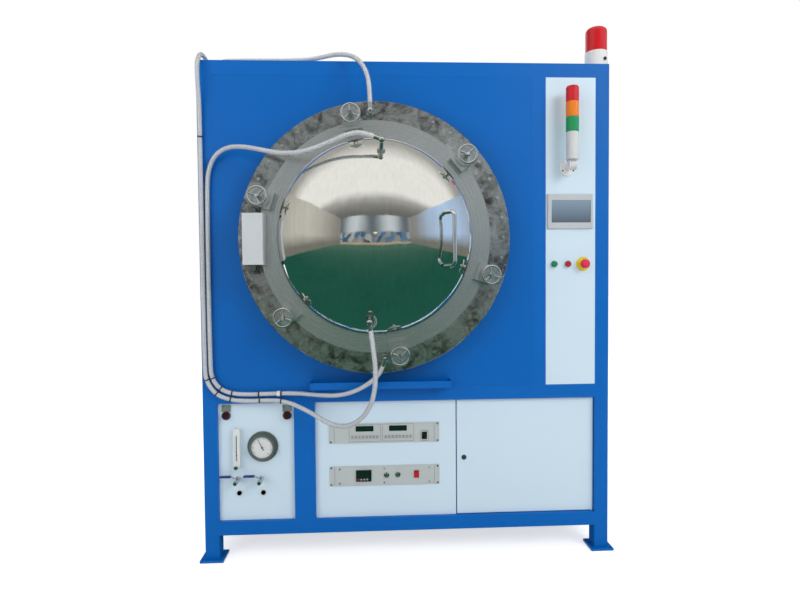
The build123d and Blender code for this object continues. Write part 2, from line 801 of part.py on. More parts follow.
export_step(hinge_bracket.part, "parts/hinge_bracket.step")

# Hinge arm: the barrel on the pin and the pad bolted to the door flange
arm_clear = sheet + seat_gap
arm_right = hinge_x - cover_left + cover_width - arm_clear
with BuildPart() as door_hinge_arm:
    with BuildSketch(Plane.XY.offset(cover_low + arm_clear)):
        with Locations((hinge_x, hinge_y)):
            Circle(barrel_radius)
        with Locations((middle(hinge_x, arm_right), door_y - 14)):
            Rectangle(arm_right - hinge_x, 28)
        with Locations((hinge_x, hinge_y)):
            Circle(pin_radius + run_fit, mode=Mode.SUBTRACT)
    extrude(amount=cover_height - 2 * arm_clear)
door_hinge_arm.part.label = "door_hinge_arm"
export_step(door_hinge_arm.part, "parts/door_hinge_arm.step")

# Hinge cover: a sheet box over the arm, open at the back, that swings with the door
with BuildPart() as hinge_cover:
    with BuildSketch(facing(door_y - seat_gap)):
        with Locations((hinge_x - cover_left + cover_width / 2, hinge_z)):
            Rectangle(cover_width, cover_height)
    extrude(amount=cover_depth)
    fillet(hinge_cover.edges().filter_by(Axis.Z).group_by(Axis.Y)[0], 4)
    offset(amount=-sheet, openings=hinge_cover.faces().sort_by(Axis.Y)[-1])
    with BuildSketch(Plane.XY.offset(cover_low)):
        with Locations((hinge_x, hinge_y)):
            Circle(pin_radius + 1)
    extrude(amount=cover_height, mode=Mode.SUBTRACT)
hinge_cover.part.label = "hinge_cover"
export_step(hinge_cover.part, "parts/hinge_cover.step")

# Handwheels: rim, three spokes, hub and the screw that fills the lug's bore
wheel_y = lug_y - 0.7 * wheel_depth
for number, (x, z) in enumerate(clamp_places, start=1):
    wheel_plane, wheel_axis = spindle(x, z)
    with BuildPart() as handwheel:
        with BuildSketch(wheel_plane):
            with Locations((wheel_radius - wheel_rim, wheel_y)):
                Circle(wheel_rim)
        revolve(axis=wheel_axis)
        with BuildSketch(wheel_plane):
            with BuildLine():
                Polyline(
                    (0, flange_y - lug_clear), (screw_radius, flange_y - lug_clear),
                    (screw_radius, lug_y - seat_gap), (wheel_hub, lug_y - seat_gap),
                    (0.8 * wheel_hub, wheel_y - 8), (0.5 * wheel_hub, lug_y - wheel_depth),
                    (0, lug_y - wheel_depth), close=True)
            make_face()
        revolve(axis=wheel_axis)
        for step in range(spoke_count):
            turn = radians(clamp_angles[number - 1] + 360 / spoke_count * step)
            spoke = Plane(origin=(x, wheel_y, z), z_dir=(cos(turn), 0, sin(turn)))
            with BuildSketch(spoke):
                Circle(spoke_radius)
            extrude(amount=wheel_radius - wheel_rim)
    handwheel.part.label = f"handwheel_{number}"
    export_step(handwheel.part, f"parts/handwheel_{number}.step")



# Hose routes: points from the front face of the frame
def ahead(points):
    """The same points in the furnace's own frame."""
    return [Vector(x, front_y + y, z) for x, y, z in points]


header_y = front_y + 330
header_sockets = (-post_column - 13, -post_column + 11.5)
header_z = frame_height + hose_radius + 2
# From the top of the dome to the left post, down it, along the middle rail, up to the body flange
link_route = ahead([
    (-141, -287, 1746), (-186, -287, 1764), (-245, -274, 1757), (-325, -250, 1727), (-420, -218, 1702),
    (-515, -180, 1708), (-600, -135, 1735), (-680, -88, 1758), (-750, -48, 1764), (-806, -25, 1737),
    (-836, -16, 1680), (-845, -13, 1600), (-846, -13, 850), (-838, -14, 795), (-808, -15, 752),
    (-760, -15, 731), (-690, -14, 725), (-590, -15, 727), (-490, -20, 729), (-390, -36, 722),
    (-300, -62, 722), (-222, -86, 747), (-160, -108, 788), (-124, -123, 826), (-113, -128, 857)])
# From the header on the roof over the front edge, down the left post and up to the bottom of the dome
supply_route = ahead([
    (header_sockets[0], 330, header_z), (header_sockets[0], 250, header_z), (-867, 170, 2158),
    (-868, 98, 2174), (-868, 32, 2178), (-868, -12, 2152), (-868, -38, 2108), (-868, -38, 2050),
    (-868, -20, 1960), (-869, -13, 1860), (-870, -13, 850), (-862, -14, 783), (-825, -15, 729),
    (-765, -15, 703), (-690, -14, 697), (-610, -16, 699), (-530, -24, 697), (-430, -54, 660),
    (-345, -92, 614), (-271, -134, 606), (-207, -176, 644), (-162, -214, 712), (-145, -246, 790),
    (-143, -266, 870), (-151, -276, 945), (-160, -279, 1015)])
# From the top of the body flange over the front edge and along the roof to the header
return_route = ahead([
    (-155, -128, 1925), (-156, -124, 1985), (-166, -108, 2050), (-192, -78, 2108), (-236, -36, 2152),
    (-300, 2, 2170), (-370, 24, 2162), (-450, 32, 2152.5), (-720, 34, 2151.5), (-783, 45, 2152),
    (-826, 86, 2152), (-842, 145, 2152.5), (header_sockets[1], 250, header_z),
    (header_sockets[1], 330, header_z)])

# Elbow fittings: a nut at the foot, a stem up to a round knee, and a stub in line with the hose
nut_radius = 18
nut_height = 14
stem_radius = 11
stub_radius = 9
stub_length = 32


def elbow(end, following, foot_for):
    knee = end + (end - following).normalized() * stub_length
    foot = foot_for(knee)
    rise = knee - foot
    with BuildPart() as fitting:
        with BuildSketch(Plane(origin=foot, z_dir=rise)):
            RegularPolygon(nut_radius, 6)
        extrude(amount=nut_height)
        with BuildSketch(Plane(origin=foot, z_dir=rise)):
            Circle(stem_radius)
        extrude(amount=rise.length)
        with Locations(Location(knee)):
            Sphere(stem_radius + 2)
        with BuildSketch(Plane(origin=knee, z_dir=end - knee)):
            Circle(stub_radius)
        extrude(amount=stub_length)
    return fitting.part


def dome_foot(knee):
    """The point just under the dome's surface that a stem along the surface's normal starts from."""
    centre = Vector(vessel_x, crown_y, vessel_z)
    return centre + (knee - centre).normalized() * (dome_crown - 4)


def flange_foot(knee):
    return Vector(knee.X, flange_y, knee.Z)


# Water fittings on the dome
with BuildPart() as door_fittings:
    add(elbow(link_route[0], link_route[1], dome_foot))
    add(elbow(supply_route[-1], supply_route[-2], dome_foot))
    with Locations((vessel_x, crown_y, vessel_z)):
        Sphere(dome_crown + seat_gap, mode=Mode.SUBTRACT)
door_fittings.part.label = "door_fittings"
export_step(door_fittings.part, "parts/door_fittings.step")

# Water fittings on the body flange and the hose header on the roof
with BuildPart() as water_fittings:
    add(elbow(return_route[0], return_route[1], flange_foot))
    add(elbow(link_route[-1], link_route[-2], flange_foot))
    with BuildSketch(Plane.XY.offset(frame_height)):
        with Locations((middle(*header_sockets), header_y + 30)):
            RectangleRounded(56, 40, 5)
    extrude(amount=2 * hose_radius + 8)
    with BuildSketch(facing(header_y + 10)):
        with Locations(*[(x, header_z) for x in header_sockets]):
            Circle(stub_radius)
    extrude(amount=10)
water_fittings.part.label = "water_fittings"
export_step(water_fittings.part, "parts/water_fittings.step")


# Hoses: straight runs joined by tangent arcs
def hose(points):
    radii = []
    for before, here, following in zip(points, points[1:], points[2:]):
        first, second = here - before, following - here
        half_turn = radians(first.get_angle(second)) / 2
        radii.append(0.45 * min(first.length, second.length) / tan(half_turn))
    with BuildPart() as tube_part:
        with BuildLine() as route:
            FilletPolyline(*points, radius=radii)
        with BuildSketch(Plane(origin=route.line @ 0, z_dir=route.line % 0)):
            Circle(hose_radius)
        sweep()
    length = route.wires()[0].length
    section_error = tube_part.part.volume / (pi * hose_radius ** 2 * length) - 1
    print("hose length", round(length), "smallest radius", round(min(radii)), "volume error", round(section_error, 4))
    return tube_part.part


with BuildPart() as hose_link:
    add(hose(link_route))
hose_link.part.label = "hose_link"
export_step(hose_link.part, "parts/hose_link.step")

with BuildPart() as hose_supply:
    add(hose(supply_route))
hose_supply.part.label = "hose_supply"
export_step(hose_supply.part, "parts/hose_supply.step")

with BuildPart() as hose_return:
    add(hose(return_route))
hose_return.part.label = "hose_return"
export_step(hose_return.part, "parts/hose_return.step")

# Round gauge: flange, case and dial recess with the pointer's bearing
dial_radius = 46
dial_y = low_y - 19
gauge_plane, gauge_axis = spindle(gauge_x, gauge_z)
pointer_shaft = 2
with BuildPart() as gauge_case:
    add(turned(
        [(pointer_shaft + run_fit, dial_y), (dial_radius, dial_y), (dial_radius, dial_y - 8), (52, dial_y - 8),
         (55, dial_y - 4), (55, low_y - 8), (64, low_y - 8), (66, low_y - 6), (66, low_y),
         (gauge_case_radius, low_y), (gauge_case_radius, low_y + 40), (pointer_shaft + run_fit, low_y + 40)],
        gauge_plane, gauge_axis))
gauge_case.part.label = "gauge_case"
export_step(gauge_case.part, "parts/gauge_case.step")

# Gauge pointer on its shaft
pointer_rest = 117.6
pointer_along = (cos(radians(pointer_rest)), 0, sin(radians(pointer_rest)))
pointer_plane = Plane(origin=(gauge_x, dial_y - 2, gauge_z), x_dir=pointer_along, z_dir=(0, -1, 0))
with BuildPart() as gauge_pointer:
    with BuildSketch(pointer_plane):
        Circle(5)
        with BuildLine():
            Polyline((-14, -2.5), (0, -2), (38, -0.6), (38, 0.6), (0, 2), (-14, 2.5), close=True)
        make_face()
    extrude(amount=1.5)
    with BuildSketch(pointer_plane):
        Circle(pointer_shaft)
    extrude(amount=-12)
gauge_pointer.part.label = "gauge_pointer"
export_step(gauge_pointer.part, "parts/gauge_pointer.step")

# Flowmeter, ball valves and round ports on the valve panel
flow_x = left_x + 82
flow_low, flow_high = 400, 575
flow_width = 28
flow_depth = 25
knob_z = 412
knob_shaft = 3
valve_places = ((left_x + 83, 352), (left_x + 184, 352))
valve_stem_y = low_y - 27
valve_length = 50
valve_body = 9
stem_top = 14
lever_pin = 3
with BuildPart() as gas_fittings:
    with BuildSketch(facing(low_y)):
        with Locations((flow_x, middle(flow_low, flow_high))):
            RectangleRounded(flow_width, flow_high - flow_low, 4)
    extrude(amount=flow_depth)
    with BuildSketch(facing(low_y - flow_depth)):
        with Locations((flow_x, knob_z)):
            Circle(9)
    extrude(amount=4)
    with BuildSketch(facing(low_y - flow_depth - 4)):
        with Locations((flow_x, knob_z)):
            Circle(knob_shaft + run_fit)
    extrude(amount=-12, mode=Mode.SUBTRACT)
    with BuildSketch(Plane.XY.offset(flow_low + 30)):
        with Locations((flow_x, low_y - flow_depth / 2)):
            Circle(5)
    extrude(amount=flow_high - flow_low - 45, mode=Mode.SUBTRACT)
    with BuildSketch(facing(low_y)):
        with Locations(*valve_places):
            Circle(valve_body)
    extrude(amount=valve_length)
    with BuildSketch(facing(low_y - valve_length)):
        with Locations(*valve_places):
            Circle(8)
    extrude(amount=15)
    for radius, top in ((6, stem_top - 4), (lever_pin, stem_top + 5)):
        with BuildSketch(Plane.XY.offset(valve_places[0][1])):
            with Locations(*[(x, valve_stem_y) for x, z in valve_places]):
                Circle(radius)
        extrude(amount=top)
    with BuildSketch(facing(low_y)):
        with Locations(*port_places):
            Circle(port_stub + 2)
    extrude(amount=6)
    with BuildSketch(facing(low_y)):
        with Locations(*port_places):
            Circle(port_stub)
    extrude(amount=-30)
    with BuildSketch(facing(low_y - 6)):
        with Locations(*port_places):
            Circle(port_stub - 2)
    extrude(amount=-30, mode=Mode.SUBTRACT)
gas_fittings.part.label = "gas_fittings"
export_step(gas_fittings.part, "parts/gas_fittings.step")

# Needle-valve knob of the flowmeter
knob_plane, knob_axis = spindle(flow_x, knob_z)
knob_back = low_y - flow_depth - 4 - seat_gap
with BuildPart() as needle_knob:
    add(turned(
        [(0, knob_back + 10), (knob_shaft, knob_back + 10), (knob_shaft, knob_back), (9, knob_back),
         (9, knob_back - 12), (7.5, knob_back - 14), (0, knob_back - 14)], knob_plane, knob_axis))
    with BuildSketch(facing(knob_back)):
        with Locations((flow_x, knob_z)):
            with PolarLocations(9.6, 10):
                Circle(1.4)
    extrude(amount=12, mode=Mode.SUBTRACT)
needle_knob.part.label = "needle_knob"
export_step(needle_knob.part, "parts/needle_knob.step")

# Ball-valve levers, closed: flat bars stepped up to the grip, pointing to the left
lever_reach = 74
lever_width = 13
lever_thick = 2.5
lever_step = 7
grip_length = 48
for number, (x, z) in enumerate(valve_places, start=1):
    base = z + stem_top - 4 + seat_gap
    grip_start = x - lever_reach + grip_length
    with BuildPart() as lever:
        with BuildSketch(facing(valve_stem_y + lever_width / 2)):
            with BuildLine():
                Polyline(
                    (x + 8, base), (x - 7, base), (grip_start, base + lever_step),
                    (x - lever_reach, base + lever_step), (x - lever_reach, base + lever_step + lever_thick),
                    (grip_start - 1, base + lever_step + lever_thick), (x - 8, base + lever_thick),
                    (x + 8, base + lever_thick), close=True)
            make_face()
        extrude(amount=lever_width)
        fillet(lever.edges().filter_by(Axis.Z), 5)
        with BuildSketch(Plane.XY.offset(base)):
            with Locations((x, valve_stem_y)):
                Circle(lever_pin + run_fit)
        extrude(amount=lever_thick, mode=Mode.SUBTRACT)
    lever.part.label = f"valve_lever_{number}"
    export_step(lever.part, f"parts/valve_lever_{number}.step")

# Latch knobs of the valve panel, each with its shaft and cam
knob_radius = 18
knob_height = 16
for number, (x, z) in enumerate(latch_places, start=1):
    latch_plane, latch_axis = spindle(x, z)
    back = low_y - latch_plate - seat_gap
    with BuildPart() as latch_knob:
        add(turned(
            [(0, low_y + sheet + 5), (latch_shaft, low_y + sheet + 5), (latch_shaft, back), (knob_radius, back),
             (knob_radius, back - 9), (knob_radius - 5, back - knob_height), (0, back - knob_height)],
            latch_plane, latch_axis))
        with BuildSketch(facing(low_y + sheet + 5)):
            with Locations((x, z + 10)):
                RectangleRounded(12, 34, 3)
        extrude(amount=3)
    latch_knob.part.label = f"latch_knob_{number}"
    export_step(latch_knob.part, f"parts/latch_knob_{number}.step")

# Touch panel: bezel in front, body through the control panel
with BuildPart() as touch_panel:
    with BuildSketch(facing(front_y)):
        with Locations((screen_x, screen_z)):
            RectangleRounded(screen_width, screen_height, 4)
    extrude(amount=8)
    chamfer(touch_panel.faces().sort_by(Axis.Y)[0].edges(), 2)
    with BuildSketch(facing(front_y - 8)):
        with Locations((screen_x + 4, screen_z)):
            Rectangle(174, 97)
    extrude(amount=-2, mode=Mode.SUBTRACT)
    with BuildSketch(facing(front_y)):
        with Locations((screen_x, screen_z)):
            Rectangle(screen_width - screen_body, screen_height - screen_body)
    extrude(amount=-32)
touch_panel.part.label = "touch_panel"
export_step(touch_panel.part, "parts/touch_panel.step")

# Collars of the two push buttons and of the emergency stop
collar_radius = 14.5
collar_proud = 8
collar_floor = 1.5
cap_radius = 10.9
stem = 8.8
sleeve = 9.2
sleeve_length = 25
cap_travel = 5
stop_collar_radius = 30
stop_collar_proud = 12


def collar_profile(outer, proud):
    return [
        (sleeve, front_y + sleeve_length), (collar_bore - seat_gap, front_y + sleeve_length),
        (collar_bore - seat_gap, front_y), (outer, front_y), (outer, front_y - proud),
        (collar_bore - 0.2, front_y - proud), (collar_bore - 0.2, front_y - collar_floor),
        (sleeve, front_y - collar_floor)]


with BuildPart() as button_collars:
    for x in (green_x, red_x):
        add(turned(collar_profile(collar_radius, collar_proud), *spindle(x, button_z)))
    add(turned(collar_profile(collar_radius + 3, stop_collar_proud), *spindle(stop_x, button_z)))
    with BuildSketch(facing(front_y)):
        with Locations((stop_x, button_z)):
            Circle(stop_collar_radius)
            Circle(collar_radius, mode=Mode.SUBTRACT)
        with Locations(Location((stop_x, button_z))):
            with PolarLocations(stop_collar_radius + 1, 4, start_angle=45):
                Circle(4, mode=Mode.SUBTRACT)
    extrude(amount=4)
button_collars.part.label = "button_collars"
export_step(button_collars.part, "parts/button_collars.step")

# Green and red push buttons
for name, x in (("start_button", green_x), ("stop_button", red_x)):
    cap_back = front_y - collar_floor - cap_travel - 0.5
    with BuildPart() as button:
        add(turned(
            [(0, front_y + sleeve_length), (stem, front_y + sleeve_length), (stem, cap_back),
             (cap_radius, cap_back), (cap_radius, cap_back - 7), (cap_radius - 1.5, cap_back - 8.5),
             (0, cap_back - 8.5)], *spindle(x, button_z)))
    button.part.label = name
    export_step(button.part, f"parts/{name}.step")

# Emergency stop: a mushroom head on its stem
mushroom_radius = 20
mushroom_back = front_y - stop_collar_proud - cap_travel - 3
with BuildPart() as emergency_stop:
    add(turned(
        [(0, front_y + sleeve_length), (stem, front_y + sleeve_length), (stem, mushroom_back),
         (mushroom_radius, mushroom_back - 2), (mushroom_radius, mushroom_back - 9),
         (mushroom_radius - 4, mushroom_back - 14), (mushroom_radius / 2, mushroom_back - 16.5),
         (0, mushroom_back - 17)], *spindle(stop_x, button_z)))
emergency_stop.part.label = "emergency_stop"
export_step(emergency_stop.part, "parts/emergency_stop.step")

# Rack instruments: front plates and cases, with pockets for the rocker switches
rack_plate = 3
rack_depth = 300
rocker_places = ((rack_x + 175.7, rack_places[0][1] - 15), (rack_x + 139.7, rack_places[1][1] + 2))
rocker_width = 20
rocker_height = 30
rocker_pocket_depth = 22
with BuildPart() as rack_units:
    with BuildSketch(facing(low_y)):
        with Locations(*rack_places):
            Rectangle(rack_width, rack_height)
    extrude(amount=rack_plate)
    with BuildSketch(facing(low_y)):
        with Locations(*rack_places):
            Rectangle(rack_case_width, rack_case_height)
    extrude(amount=-rack_depth)
    with BuildSketch(facing(low_y - rack_plate)):
        with Locations(*rocker_places):
            Rectangle(rocker_width + 4, rocker_height + 4)
    extrude(amount=-rocker_pocket_depth, mode=Mode.SUBTRACT)
rack_units.part.label = "rack_units"
export_step(rack_units.part, "parts/rack_units.step")

# Rocker switches, tipped to one side, on pins that reach the pocket's walls
rocker_tip = radians(10)
rocker_y = low_y - rack_plate + 5
for number, (x, z) in enumerate(rocker_places, start=1):
    rocker_up = (0, -sin(rocker_tip), cos(rocker_tip))
    rocker_plane = Plane(origin=(x, rocker_y, z), x_dir=rocker_up, z_dir=(1, 0, 0))
    half = rocker_height / 2
    with BuildPart() as rocker:
        with BuildSketch(rocker_plane):
            with BuildLine():
                Polyline((-half, 0), (-half, 7), (0, 5.5), (half, 7), (half, 0), close=True)
            make_face()
            Circle(6)
        extrude(amount=rocker_width / 2, both=True)
        with BuildSketch(rocker_plane):
            Circle(1.5)
        extrude(amount=rocker_width / 2 + 2 - seat_gap, both=True)
    rocker.part.label = f"rocker_switch_{number}"
    export_step(rocker.part, f"parts/rocker_switch_{number}.step")

# Signal tower's mount: disc on the panel, arm, two cheeks and the folding pin
tower_x = control_x - 15
tower_z = 1690
tower_ahead = 60
tower_radius = 27
mount_radius = 35
mount_thick = 10
elbow_radius = 20
cheek = 4
barrel_half = 12
fold_pin = 4
tower_y = front_y - tower_ahead
with BuildPart() as signal_mount:
    with BuildSketch(facing(front_y)):
        with Locations((tower_x, tower_z)):
            Circle(mount_radius)
    extrude(amount=mount_thick)
    fillet(signal_mount.edges().group_by(Axis.Y)[0], 3)
    with BuildSketch(facing(front_y - mount_thick)):
        with Locations((tower_x, tower_z)):
            Circle(barrel_half + cheek)
    extrude(amount=tower_ahead - mount_thick - elbow_radius - 3)
    with BuildSketch(Plane.YZ.offset(tower_x)):
        with Locations((tower_y, tower_z)):
            Circle(elbow_radius)
        with Locations((tower_y + elbow_radius / 2 + 3, tower_z)):
            Rectangle(elbow_radius + 6, 1.4 * elbow_radius)
    extrude(amount=barrel_half + cheek, both=True)
    with BuildSketch(Plane.YZ.offset(tower_x)):
        with Locations((tower_y, tower_z)):
            Circle(elbow_radius + seat_gap)
            Rectangle(8 * elbow_radius, 2 * elbow_radius)
        with Locations((tower_y + 4 * elbow_radius + elbow_radius + 1, tower_z)):
            Rectangle(8 * elbow_radius, 2 * elbow_radius, mode=Mode.SUBTRACT)
    extrude(amount=barrel_half + seat_gap, both=True, mode=Mode.SUBTRACT)
    with BuildSketch(Plane.YZ.offset(tower_x)):
        with Locations((tower_y, tower_z)):
            Circle(fold_pin)
    extrude(amount=barrel_half + cheek, both=True)
signal_mount.part.label = "signal_mount"
export_step(signal_mount.part, "parts/signal_mount.step")

# Signal tower: barrel, neck, base tube, three lamps with their rings, and the cap
tower_base = tower_z + 23
lamp_levels = (1828, 1891, 1955, 2019)
ring_groove = 2.5
with BuildPart() as signal_tower:
    with BuildSketch(Plane.YZ.offset(tower_x)):
        with Locations((tower_y, tower_z)):
            Circle(elbow_radius - 1)
    extrude(amount=barrel_half, both=True)
    with BuildSketch(Plane.XY.offset(tower_z)):
        with Locations((tower_x, tower_y)):
            Circle(barrel_half - 1)
    extrude(amount=tower_base - tower_z)
    with BuildSketch(Plane.XY.offset(tower_base)):
        with Locations((tower_x, tower_y)):
            Circle(tower_radius)
    extrude(amount=lamp_levels[-1] - tower_base - 5)
    for level in lamp_levels[:-1]:
        with BuildSketch(Plane.XY.offset(level - ring_groove)):
            with Locations((tower_x, tower_y)):
                Circle(tower_radius + 1)
                Circle(tower_radius - 1.5, mode=Mode.SUBTRACT)
        extrude(amount=2 * ring_groove, mode=Mode.SUBTRACT)
    with BuildSketch(Plane.XY.offset(lamp_levels[-1] - 5)):
        with Locations((tower_x, tower_y)):
            Circle(tower_radius - 3)
    extrude(amount=5)
    with BuildSketch(Plane.YZ.offset(tower_x)):
        with Locations((tower_y, tower_z)):
            Circle(fold_pin + run_fit)
    extrude(amount=barrel_half, both=True, mode=Mode.SUBTRACT)
signal_tower.part.label = "signal_tower"
export_step(signal_tower.part, "parts/signal_tower.step")

# Beacon on the roof: base and domed lens
beacon_x = post_column - 7
beacon_y = front_y + 52
beacon_base = 65
beacon_height = 172
beacon_radius = 49
lens_radius = 46
with BuildPart() as beacon:
    with BuildSketch(Plane.XY.offset(frame_height)):
        with Locations((beacon_x, beacon_y)):
            Circle(beacon_radius)
    extrude(amount=beacon_base)
    with BuildSketch(Plane.XY.offset(frame_height + beacon_base)):
        with Locations((beacon_x, beacon_y)):
            Circle(lens_radius)
    extrude(amount=beacon_height - beacon_base)
    fillet(beacon.edges().group_by(Axis.Z)[-1], 18)
beacon.part.label = "beacon"
export_step(beacon.part, "parts/beacon.step")

# Cabinet door with its two hinge pins and the lock's hole
cabinet_left = lath_x + seam / 2
cabinet_right = inner_x - door_gap + seat_gap
cabinet_low, cabinet_high = low_bottom + door_gap, low_top - door_gap
lock_x = cabinet_left + 31
lock_z = 424
lock_radius = 9
with BuildPart() as cabinet_door:
    add(folded_panel(cabinet_left, cabinet_right, cabinet_low, cabinet_high, low_y))
    with BuildSketch(facing(low_y)):
        with Locations((lock_x, lock_z)):
            Circle(lock_radius + run_fit)
    extrude(amount=-sheet, mode=Mode.SUBTRACT)
    for low, high in ((bottom_top_z - tube_wall, cabinet_low + 10), (cabinet_high - 10, mid_rail_z + tube_wall)):
        with BuildSketch(Plane.XY.offset(low)):
            with Locations((hinge_pin_x, hinge_pin_y)):
                Circle(hinge_pin_radius)
        extrude(amount=high - low)
cabinet_door.part.label = "cabinet_door"
export_step(cabinet_door.part, "parts/cabinet_door.step")

# Lock of the cabinet door: collar, barrel and cam
lock_plane, lock_axis = spindle(lock_x, lock_z)
with BuildPart() as cabinet_lock:
    add(turned(
        [(0, low_y + sheet + 6), (lock_radius, low_y + sheet + 6), (lock_radius, low_y - seat_gap),
         (lock_radius + 3, low_y - seat_gap), (lock_radius + 2, low_y - 3), (0, low_y - 3)],
        lock_plane, lock_axis))
    with BuildSketch(facing(low_y + sheet + 9)):
        with Locations((lock_x - 8, lock_z)):
            RectangleRounded(34, 14, 3)
    extrude(amount=3)
cabinet_lock.part.label = "cabinet_lock"
export_step(cabinet_lock.part, "parts/cabinet_lock.step")

print("front of the frame at y =", round(front_y, 3))
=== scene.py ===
from math import cos, hypot, pi, radians, sin

import bmesh
import bpy
from mathutils import Matrix, Vector


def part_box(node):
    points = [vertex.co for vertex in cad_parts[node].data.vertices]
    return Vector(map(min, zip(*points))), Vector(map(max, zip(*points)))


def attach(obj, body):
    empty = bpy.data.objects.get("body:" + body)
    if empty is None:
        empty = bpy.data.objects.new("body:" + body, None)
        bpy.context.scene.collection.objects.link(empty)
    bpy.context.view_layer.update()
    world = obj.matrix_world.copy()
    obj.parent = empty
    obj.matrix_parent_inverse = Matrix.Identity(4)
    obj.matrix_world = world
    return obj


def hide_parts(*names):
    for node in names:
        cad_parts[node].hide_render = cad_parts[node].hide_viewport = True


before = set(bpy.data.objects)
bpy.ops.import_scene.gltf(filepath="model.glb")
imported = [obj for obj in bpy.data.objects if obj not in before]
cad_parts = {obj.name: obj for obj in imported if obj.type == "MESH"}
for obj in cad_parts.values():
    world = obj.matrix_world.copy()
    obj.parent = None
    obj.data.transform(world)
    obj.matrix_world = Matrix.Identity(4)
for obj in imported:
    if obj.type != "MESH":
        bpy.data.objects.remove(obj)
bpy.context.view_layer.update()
MM = 0.001


def node(name):
    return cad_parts[name]


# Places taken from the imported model: the frame's front face and the middle of the body flange
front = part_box("frame_posts")[0].y
flange_lo, flange_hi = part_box("body_flange")
vessel = Vector(((flange_lo.x + flange_hi.x) / 2, flange_lo.y, (flange_lo.z + flange_hi.z) / 2))


def at(x, ahead, z):
    """A point given in millimetres: x, the distance behind the frame's front face, and z."""
    return Vector((x * MM, front + ahead * MM, z * MM))


# Camera at the photograph's viewing angle
camera_data = bpy.data.cameras.new("camera")
camera_data.lens = 24.25
camera_data.sensor_width = 36
camera = bpy.data.objects.new("camera", camera_data)
bpy.context.collection.objects.link(camera)
bpy.context.scene.camera = camera
yaw, pitch, roll = radians(2.615), radians(-1.841), radians(-0.491)
eye = at(-141, -2330, 1197)
forward = Vector((sin(yaw) * cos(pitch), cos(yaw) * cos(pitch), sin(pitch)))
side = Vector((cos(yaw), -sin(yaw), 0))
up = side.cross(forward)
right = cos(roll) * side + sin(roll) * up
above = cos(roll) * up - sin(roll) * side
camera.matrix_world = Matrix.Translation(eye) @ Matrix(
    (right, above, -forward)).transposed().to_4x4()

bpy.context.scene.view_settings.view_transform = "Standard"


# Materials
class Finish:
    """A node material on one Principled shader, with helpers that feed it from object coordinates."""

    def __init__(self, name, colour, rough, metal=0.0, **sockets):
        self.material = bpy.data.materials.new(name)
        self.material.use_nodes = True
        self.tree = self.material.node_tree
        self.shader = self.tree.nodes["Principled BSDF"]
        self.set(self.shader, {"Base Color": (*colour, 1), "Roughness": rough, "Metallic": metal})
        self.set(self.shader, {key.replace("_", " "): value for key, value in sockets.items()})
        self.place = self.add("ShaderNodeTexCoord").outputs["Object"]

    def set(self, item, values):
        for key, value in values.items():
            item.inputs[key].default_value = value

    def add(self, kind, properties=None, **values):
        item = self.tree.nodes.new(kind)
        for key, value in (properties or {}).items():
            setattr(item, key, value)
        for key, value in values.items():
            self.feed(item.inputs[key.replace("_", " ")], value)
        return item

    def feed(self, socket, value):
        if isinstance(value, bpy.types.NodeSocket):
            self.tree.links.new(value, socket)
        else:
            socket.default_value = value

    def math(self, operation, *values):
        item = self.add("ShaderNodeMath", {"operation": operation})
        for socket, value in zip(item.inputs, values):
            self.feed(socket, value)
        return item.outputs[0]

    def stretched(self, scale, centre=(0, 0, 0)):
        move = self.add("ShaderNodeVectorMath", {"operation": "SUBTRACT"})
        self.feed(move.inputs[0], self.place)
        self.feed(move.inputs[1], tuple(centre))
        grow = self.add("ShaderNodeVectorMath", {"operation": "MULTIPLY"})
        self.feed(grow.inputs[0], move.outputs[0])
        self.feed(grow.inputs[1], tuple(scale))
        return grow.outputs[0]

    def noise(self, scale, detail=3.0, rough=0.55, vector=None, distortion=0.0):
        return self.add("ShaderNodeTexNoise", None, Vector=vector or self.place, Scale=scale, Detail=detail,
                        Roughness=rough, Distortion=distortion).outputs[0]

    def rings(self, scale, detail=2.0):
        """Fine noise that changes only with the distance from the vessel's axis."""
        flat = self.stretched((1, 0, 1), vessel)
        reach = self.add("ShaderNodeVectorMath", {"operation": "LENGTH"})
        self.feed(reach.inputs[0], flat)
        item = self.add("ShaderNodeTexNoise", {"noise_dimensions": "1D"}, Scale=scale, Detail=detail)
        self.feed(item.inputs["W"], reach.outputs["Value"])
        return item.outputs[0]

    def ramp(self, factor, stops):
        item = self.add("ShaderNodeValToRGB", None, Fac=factor)
        ramp = item.color_ramp
        while len(ramp.elements) < len(stops):
            ramp.elements.new(0.5)
        for element, (place, colour) in zip(ramp.elements, stops):
            element.position = place
            element.color = (*colour, 1) if len(colour) == 3 else colour
        return item.outputs[0]

    def span(self, value, low, high, to_low=0.0, to_high=1.0):
        item = self.add("ShaderNodeMapRange", {"clamp": True})
        for key, given in (("Value", value), ("From Min", low), ("From Max", high),
                           ("To Min", to_low), ("To Max", to_high)):
            self.feed(item.inputs[key], given)
        return item.outputs[0]

    def mix(self, factor, first, second):
        item = self.add("ShaderNodeMix", {"data_type": "RGBA"})
        self.feed(item.inputs[0], factor)
        self.feed(item.inputs[6], first if not isinstance(first, tuple) else (*first[:3], 1))
        self.feed(item.inputs[7], second if not isinstance(second, tuple) else (*second[:3], 1))
        return item.outputs[2]

    def axis(self, name):
        item = self.add("ShaderNodeSeparateXYZ")
        self.feed(item.inputs[0], self.place)
        return item.outputs[name]

    def colour(self, value):
        self.feed(self.shader.inputs["Base Color"], value)
        return self

    def rough(self, value):
        self.feed(self.shader.inputs["Roughness"], value)
        return self

    def metal(self, value):
        self.feed(self.shader.inputs["Metallic"], value)
        return self

    def bump(self, height, strength, distance=0.001):
        item = self.add("ShaderNodeBump", None, Height=height, Strength=strength, Distance=distance)
        before = self.shader.inputs["Normal"]
        if before.is_linked:
            self.feed(item.inputs["Normal"], before.links[0].from_socket)
        self.feed(before, item.outputs[0])
        return self


